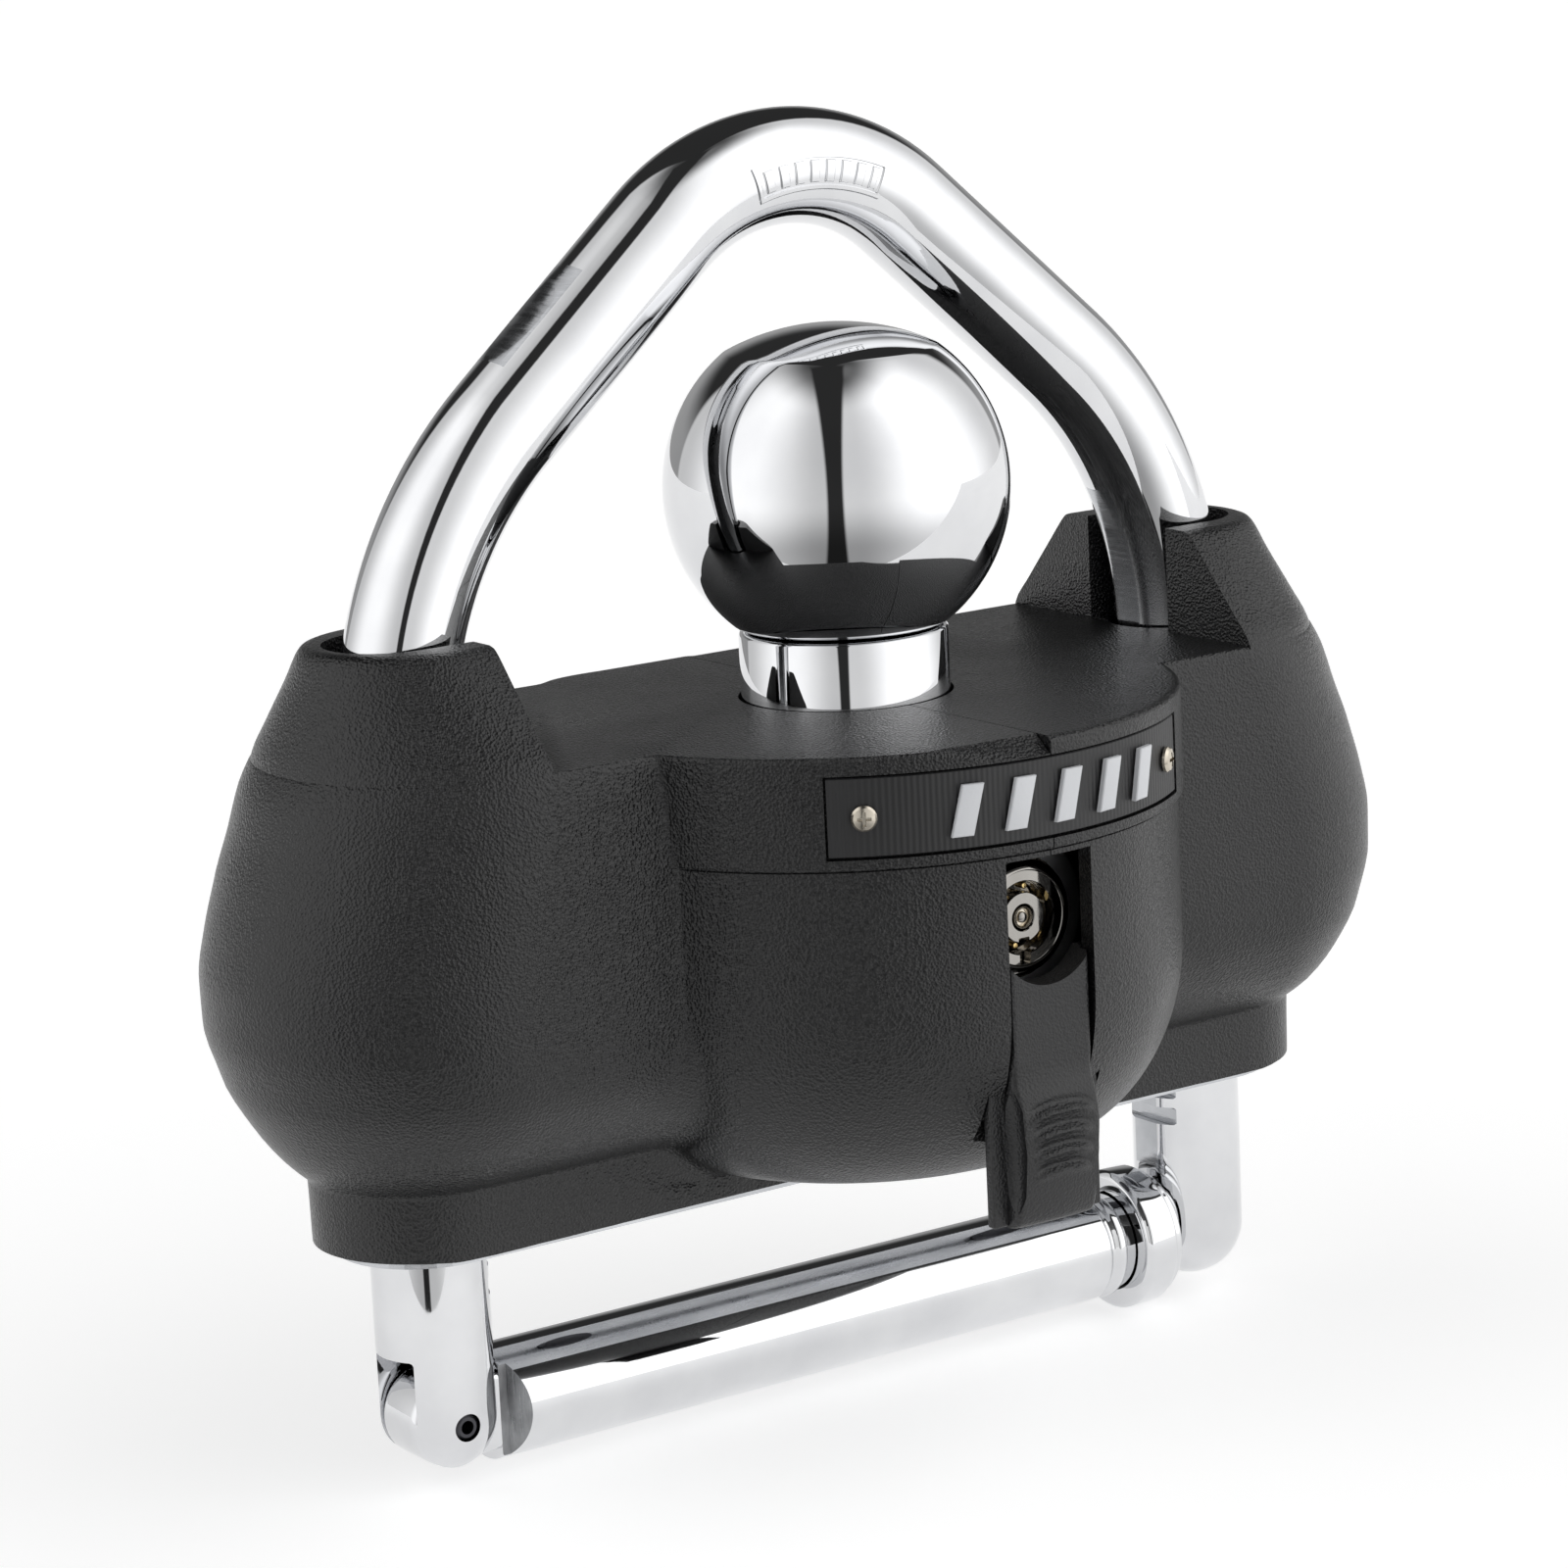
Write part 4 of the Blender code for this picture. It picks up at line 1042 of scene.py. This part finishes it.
def build_label():
    inner, outer = LABEL_OUTER_RADIUS - 1.0, LABEL_OUTER_RADIUS
    plate = sector(inner, outer, LABEL_BOTTOM_Z, LABEL_TOP_Z, LABEL_ANGLE, 64, 0.18)
    for side in (-1, 1):
        cut(plate, radial(rod(1.2, 38.0, 48.0, 24), side * LABEL_SCREW_ANGLE))
    piece(plate, "label_detailed", "housing", LABEL, "plastic", ("label_plate",), 30.0)
    for side, name in ((-1, "label_screw_left"), (1, "label_screw_right")):
        front = LABEL_OUTER_RADIUS + 0.25
        profile = [(0.0, 42.0), (0.9, 42.0), (0.9, front), (1.75, front), (1.72, front + 0.35)]
        profile += [(1.45, front + 0.68), (0.9, front + 0.85), (0.0, front + 0.92)]
        screw = lathe(profile, 40)
        for wide in (0, 1):
            x, y = (0.95, 0.22) if wide else (0.22, 0.95)
            cut(screw, box(-x, x, -y, y, front + 0.25, front + 2.0))
        radial(screw, side * LABEL_SCREW_ANGLE)
        piece(screw, name + "_detailed", "housing", NICKEL, "nickel", (name,), 30.0)
    for i in range(BAR_COUNT):
        angle = math.radians(BAR_FIRST_ANGLE + BAR_PITCH_ANGLE * i)
        rings = []
        for rise, grow in ((0.25, 0.0), (0.85, 0.0), (1.0, -0.12), (1.06, -0.3)):
            half_x, half_z = BAR_HALF_WIDTH + grow, BAR_HALF_HEIGHT + grow
            ring = []
            for sx, sz in ((-1, -1), (1, -1), (1, 1), (-1, 1)):
                x = half_x * sx + BAR_SLANT * half_z * sz
                ring.append((x, -(LABEL_OUTER_RADIUS + rise), half_z * sz))
            rings.append(ring)
        place = Matrix.Translation((0.0, DRUM_Y, LABEL_Z)) @ Matrix.Rotation(angle, 4, "Z")
        name = f"label_bar_{i + 1}"
        bar = moved(skin(rings), place)
        piece(bar, name + "_detailed", "housing", PAINT, "paint", (name,), 30.0)


SLIDER_FRONT = np.array(
    (
        (33.3, 53.2),
        (33.6, 53.75),
        (34.4, 54.3),
        (37.0, 55.1),
        (40.0, 55.7),
        (43.0, 56.1),
        (46.0, 56.2),
        (48.5, 56.0),
        (51.0, 55.4),
        (53.0, 54.65),
        (55.0, 54.35),
        (58.0, 54.3),
        (69.9, 54.3),
    )
)


EDGE_ROUNDING = 0.7
SCOOP_PROFILE = (
    (0.0, -9.6),
    (0.9, -8.9),
    (2.0, -6.0),
    (2.45, 0.0),
    (2.0, 6.0),
    (0.9, 8.9),
    (0.0, 9.6),
)


def build_dust_cover():
    """A flat slide with a bulging ribbed grip, on two rails that run behind the drum's wall."""
    half = SLIDER_HALF_X
    columns, rows = 44, 150
    front, back = [], []
    for k in range(rows + 1):
        z = SLIDER_BOTTOM_Z + (SLIDER_TOP_Z - SLIDER_BOTTOM_Z) * k / rows
        reach = smooth_curve(SLIDER_FRONT, z)[0]
        outside, inside = [], []
        for i in range(columns + 1):
            x = -half + 2.0 * half * i / columns
            past = EDGE_ROUNDING - min(half - abs(x), EDGE_ROUNDING)
            soft = EDGE_ROUNDING - math.sqrt(max(EDGE_ROUNDING**2 - past**2, 0.0))
            crown = 0.010 * x * x * fade(54.5 - z, 4.0)
            outside.append((x, -reach + soft + crown - crescents(x, z), z))
            inside.append((x, SLIDER_BACK_Y, z))
        front.append(outside)
        back.append(inside)
    slider = slab_between(front, back)
    for side in (-1, 1):
        # a long finger hollow down each side of the grip, in front of the rail
        place = Matrix.Translation((side * (half + 0.95), -53.9, 43.8))
        cut(slider, moved(lathe(SCOOP_PROFILE, 48), place))
    rail, low, high = SLIDER_RAIL_HALF_X, SLIDER_BOTTOM_Z + 0.2, SLIDER_TOP_Z - 0.2
    join(slider, box(-rail, rail, -51.9, -50.4, low, high, 0.3, 3))
    cut(slider, rod(KEYHOLE_CUT_RADIUS, -65.0, -45.0, 96, "Y", (0.0, 0.0, LOCK_Z)))
    looks = (SLIDER_PLASTIC, "plastic", ("dust_cover",), 40.0)
    piece(slider, "dust_cover_detailed", "dust_cover", *looks)


RIB_COUNT = 4
RIB_TOP_Z = 49.3
RIB_PITCH = 2.75
RIB_ARCH = 0.028


def crescents(x, z):
    """Four curved ribs across the grip, each rising out of a shallow hollow."""
    out = 0.0
    for i in range(RIB_COUNT):
        middle = RIB_TOP_Z - RIB_PITCH * i - RIB_ARCH * x * x
        across = z - middle
        ends = fade(4.7 - 0.25 * i - abs(x), 2.6)
        rib = 0.62 * math.exp(-(((across + 0.2) / 0.48) ** 2))
        hollow = 0.42 * math.exp(-(((across - 0.85) / 0.55) ** 2))
        out += ends * (rib - hollow)
    return out


# ---------------------------------------------------------------- stage
def build_stage():
    """A pale table that ends a little way in front of the object, as seen from the camera."""
    azimuth = math.radians(CAMERA_AZIMUTH)
    nearer = Vector((math.sin(azimuth), -math.cos(azimuth), 0.0))
    along = Vector((math.cos(azimuth), math.sin(azimuth), 0.0))
    shape = bmesh.new()
    corners = [shape.verts.new(nearer * n + along * a) for n, a in TABLE_CORNERS]
    shape.faces.new(corners)
    bmesh.ops.recalc_face_normals(shape, faces=shape.faces)
    mesh = bpy.data.meshes.new("floor")
    shape.to_mesh(mesh)
    shape.free()
    floor = bpy.data.objects.new("floor", mesh)
    bpy.context.scene.collection.objects.link(floor)
    made, nodes, links, shader = new_material("floor_white")
    cloud = noise(nodes, links, coords(nodes), 3.0, 2.0)
    links.new(
        colour_ramp(nodes, links, cloud, ((0.3, (0.60, 0.60, 0.60)), (0.7, (0.62, 0.62, 0.62)))),
        shader.inputs["Base Color"],
    )
    shader.inputs["Roughness"].default_value = 0.6
    shader.inputs["Specular IOR Level"].default_value = 0.2
    shader.inputs["Emission Color"].default_value = (1.0, 1.0, 1.0, 1.0)
    shader.inputs["Emission Strength"].default_value = FLOOR_GLOW
    mesh.materials.append(made)


# The camera: azimuth, elevation and roll in degrees, distance from the ball in metres, lens and
# sensor in millimetres, and where the ball sits from the picture's middle, as shares of its width
CAMERA_AZIMUTH = -34.2
CAMERA_ELEVATION = 11.86
CAMERA_ROLL = -2.76
CAMERA_DISTANCE = 0.69
CAMERA_LENS = 116.334
CAMERA_SENSOR = 36.0
BALL_PLACE = (0.0335625, 0.1906875)
# The table's corners in metres: towards the camera, then across
TABLE_CORNERS = ((0.12, -4.0), (0.12, 4.0), (-8.0, 4.0), (-8.0, -4.0))
FLOOR_GLOW = 0.58


def build_camera():
    a, e, roll = (math.radians(v) for v in (CAMERA_AZIMUTH, CAMERA_ELEVATION, CAMERA_ROLL))
    ahead = Vector((-math.sin(a) * math.cos(e), math.cos(a) * math.cos(e), -math.sin(e)))
    flat = Vector((math.cos(a), math.sin(a), 0.0))
    up = flat.cross(ahead)
    right = math.cos(roll) * flat + math.sin(roll) * up
    over = -math.sin(roll) * flat + math.cos(roll) * up
    target = ORIGIN + Vector((0.0, DRUM_Y, BALL_Z)) * MM
    view_width = CAMERA_SENSOR / CAMERA_LENS * CAMERA_DISTANCE
    off_x, off_y = (share * view_width for share in BALL_PLACE)
    data = bpy.data.cameras.new("camera")
    data.sensor_width = CAMERA_SENSOR
    data.lens = CAMERA_LENS
    data.clip_start = 0.01
    data.clip_end = 50.0
    camera = bpy.data.objects.new("camera", data)
    bpy.context.scene.collection.objects.link(camera)
    turn = Matrix((right, over, -ahead)).transposed().to_4x4()
    place = target - right * off_x - over * off_y - ahead * CAMERA_DISTANCE
    camera.matrix_world = Matrix.Translation(place) @ turn
    bpy.context.scene.camera = camera


def math_node(nodes, links, operation, *values):
    made = nodes.new("ShaderNodeMath")
    made.operation = operation
    for socket, value in zip(made.inputs, values):
        if isinstance(value, (int, float)):
            socket.default_value = value
        else:
            links.new(value, socket)
    return made.outputs["Value"]


def soft_step(nodes, links, value, start, end):
    made = nodes.new("ShaderNodeMapRange")
    made.interpolation_type = "SMOOTHSTEP"
    links.new(value, made.inputs["Value"])
    made.inputs["From Min"].default_value = start
    made.inputs["From Max"].default_value = end
    return made.outputs["Result"]


# Each soft box: the bearing where it ends, its brightest bearing, how far from there its
# light has fallen to the edge value, the edge value, and how much brighter the middle is.
# Bearings are in degrees from the camera, seen from the object, to the right positive.
RIGHT_BOX = (144.0, 75.0, 62.0, 0.86, 0.90)
LEFT_BOX = (-131.0, -68.0, 58.0, 0.72, 0.68)
BOX_HOT_HALF = 8.0
BOX_SOFT_EDGE = 3.0
# The dark gap between the boxes: its middle, half width and widening upwards, on the unit sphere
GAP_MIDDLE = -0.035
GAP_HALF_WIDTH = 0.087
GAP_WIDENING = 0.045
# Elevations in degrees over which the boxes fade out and the room behind goes dark
OVERHEAD_FADE = (56.0, 80.0)
OVERHEAD_LEVEL = 0.1
ROOM_FADE = (8.0, 26.0)
ROOM_LOW_LEVEL = 0.36
ROOM_HIGH_LEVEL = 0.03
SWEEP_LEVEL = 0.8
SWEEP_DIMMING = 0.55


def build_light():
    """Two large soft boxes in front, a dim room behind, and a plain white backdrop."""
    world = bpy.data.worlds.new("studio")
    bpy.context.scene.world = world
    world.use_nodes = True
    nodes, links = world.node_tree.nodes, world.node_tree.links
    nodes.clear()
    deg = math.radians

    def calc(operation, *values):
        return math_node(nodes, links, operation, *values)

    def step(value, start, end):
        return soft_step(nodes, links, value, start, end)

    def times(a, b):
        return calc("MULTIPLY", a, b)

    def largest(a, b):
        return calc("MAXIMUM", a, b)

    def window(value, low, high, soft):
        """1 between two values, with soft edges."""
        rise = step(value, low - soft, low + soft)
        return times(rise, step(value, high + soft, high - soft))

    def soft_box(end, middle, reach, edge_level, gain):
        """A box from straight ahead to its end, brightest at its middle bearing."""
        low, high = sorted((0.0, deg(end)))
        away = calc("ABSOLUTE", calc("SUBTRACT", bearing, deg(middle)))
        hot = step(away, deg(reach), deg(BOX_HOT_HALF))
        inside = window(bearing, low, high, deg(BOX_SOFT_EDGE))
        return times(inside, calc("MULTIPLY_ADD", hot, gain, edge_level))

    place = nodes.new("ShaderNodeTexCoord").outputs["Generated"]
    turned = nodes.new("ShaderNodeVectorRotate")
    turned.rotation_type = "Z_AXIS"
    # turns the camera's own direction onto +X
    turned.inputs["Angle"].default_value = -deg(CAMERA_AZIMUTH - 90.0)
    links.new(place, turned.inputs["Vector"])
    split = nodes.new("ShaderNodeSeparateXYZ")
    links.new(turned.outputs["Vector"], split.inputs["Vector"])
    x, y, z = (split.outputs[k] for k in ("X", "Y", "Z"))
    bearing = calc("ARCTAN2", y, x)
    height = calc("ARCSINE", z)

    # two soft boxes, hottest in their middles and fading out overhead, with a dark gap in front
    sides = calc("ADD", soft_box(*RIGHT_BOX), soft_box(*LEFT_BOX))
    spread = calc("MULTIPLY_ADD", times(z, z), GAP_WIDENING, GAP_HALF_WIDTH)
    from_gap = calc("ABSOLUTE", calc("ADD", y, -GAP_MIDDLE))
    gap = step(calc("SUBTRACT", from_gap, spread), -0.02, 0.025)
    gap = largest(gap, step(x, 0.0, -0.1))
    fade_start, fade_end = (deg(v) for v in OVERHEAD_FADE)
    overhead = step(height, fade_end, fade_start)
    overhead = calc("MULTIPLY_ADD", overhead, 1.0 - OVERHEAD_LEVEL, OVERHEAD_LEVEL)
    lit = times(sides, times(gap, overhead))
    # the room behind is dim near the floor and dark above
    room_low, room_high = (deg(v) for v in ROOM_FADE)
    room = step(height, room_high, room_low)
    room = calc("MULTIPLY_ADD", room, ROOM_LOW_LEVEL - ROOM_HIGH_LEVEL, ROOM_HIGH_LEVEL)
    back = times(room, step(x, 0.2, -0.4))
    level = largest(largest(lit, back), ROOM_HIGH_LEVEL)
    # below the table everything but the front fades to a pale sweep
    low = times(step(height, deg(1.0), deg(-3.0)), step(x, 0.1, -0.2))
    level = largest(level, times(low, SWEEP_LEVEL))
    deep = step(height, deg(-2.0), deg(-35.0))
    level = times(level, calc("SUBTRACT", 1.0, times(deep, SWEEP_DIMMING)))

    studio = nodes.new("ShaderNodeBackground")
    links.new(level, studio.inputs["Strength"])
    studio.inputs["Color"].default_value = (1.0, 1.0, 1.0, 1.0)
    backdrop = nodes.new("ShaderNodeBackground")
    backdrop.inputs["Color"].default_value = (1.0, 1.0, 1.0, 1.0)
    backdrop.inputs["Strength"].default_value = 1.0
    mix = nodes.new("ShaderNodeMixShader")
    links.new(nodes.new("ShaderNodeLightPath").outputs["Is Camera Ray"], mix.inputs["Fac"])
    links.new(studio.outputs["Background"], mix.inputs[1])
    links.new(backdrop.outputs["Background"], mix.inputs[2])
    output = nodes.new("ShaderNodeOutputWorld")
    links.new(mix.outputs["Shader"], output.inputs["Surface"])
    bpy.context.scene.view_settings.view_transform = "Standard"


def finish_cad_nodes():
    """Gives the CAD nodes that stay as they are their own surfaces."""
    looks = {
        "lock_core": ZINC,
        "base_plate": STEEL,
        "base_screw_left": DARK_STEEL,
        "base_screw_right": DARK_STEEL,
        "stud_washer": STEEL,
        "stud_nut": STEEL,
        "lock_barrel": NICKEL,
        "lock_set_screw": DARK_STEEL,
        "drive_cam": STEEL,
        "cam_screw": DARK_STEEL,
        "left_pawl": STEEL,
        "right_pawl": STEEL,
        "left_pawl_spring": STEEL,
        "right_pawl_spring": STEEL,
    }
    for name, material in looks.items():
        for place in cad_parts[name].material_slots:
            place.material = material


build_shackle()
build_crossbar()
build_covers()
build_ball()
build_lock()
build_label()
build_dust_cover()
finish_cad_nodes()
build_stage()
build_camera()
build_light()
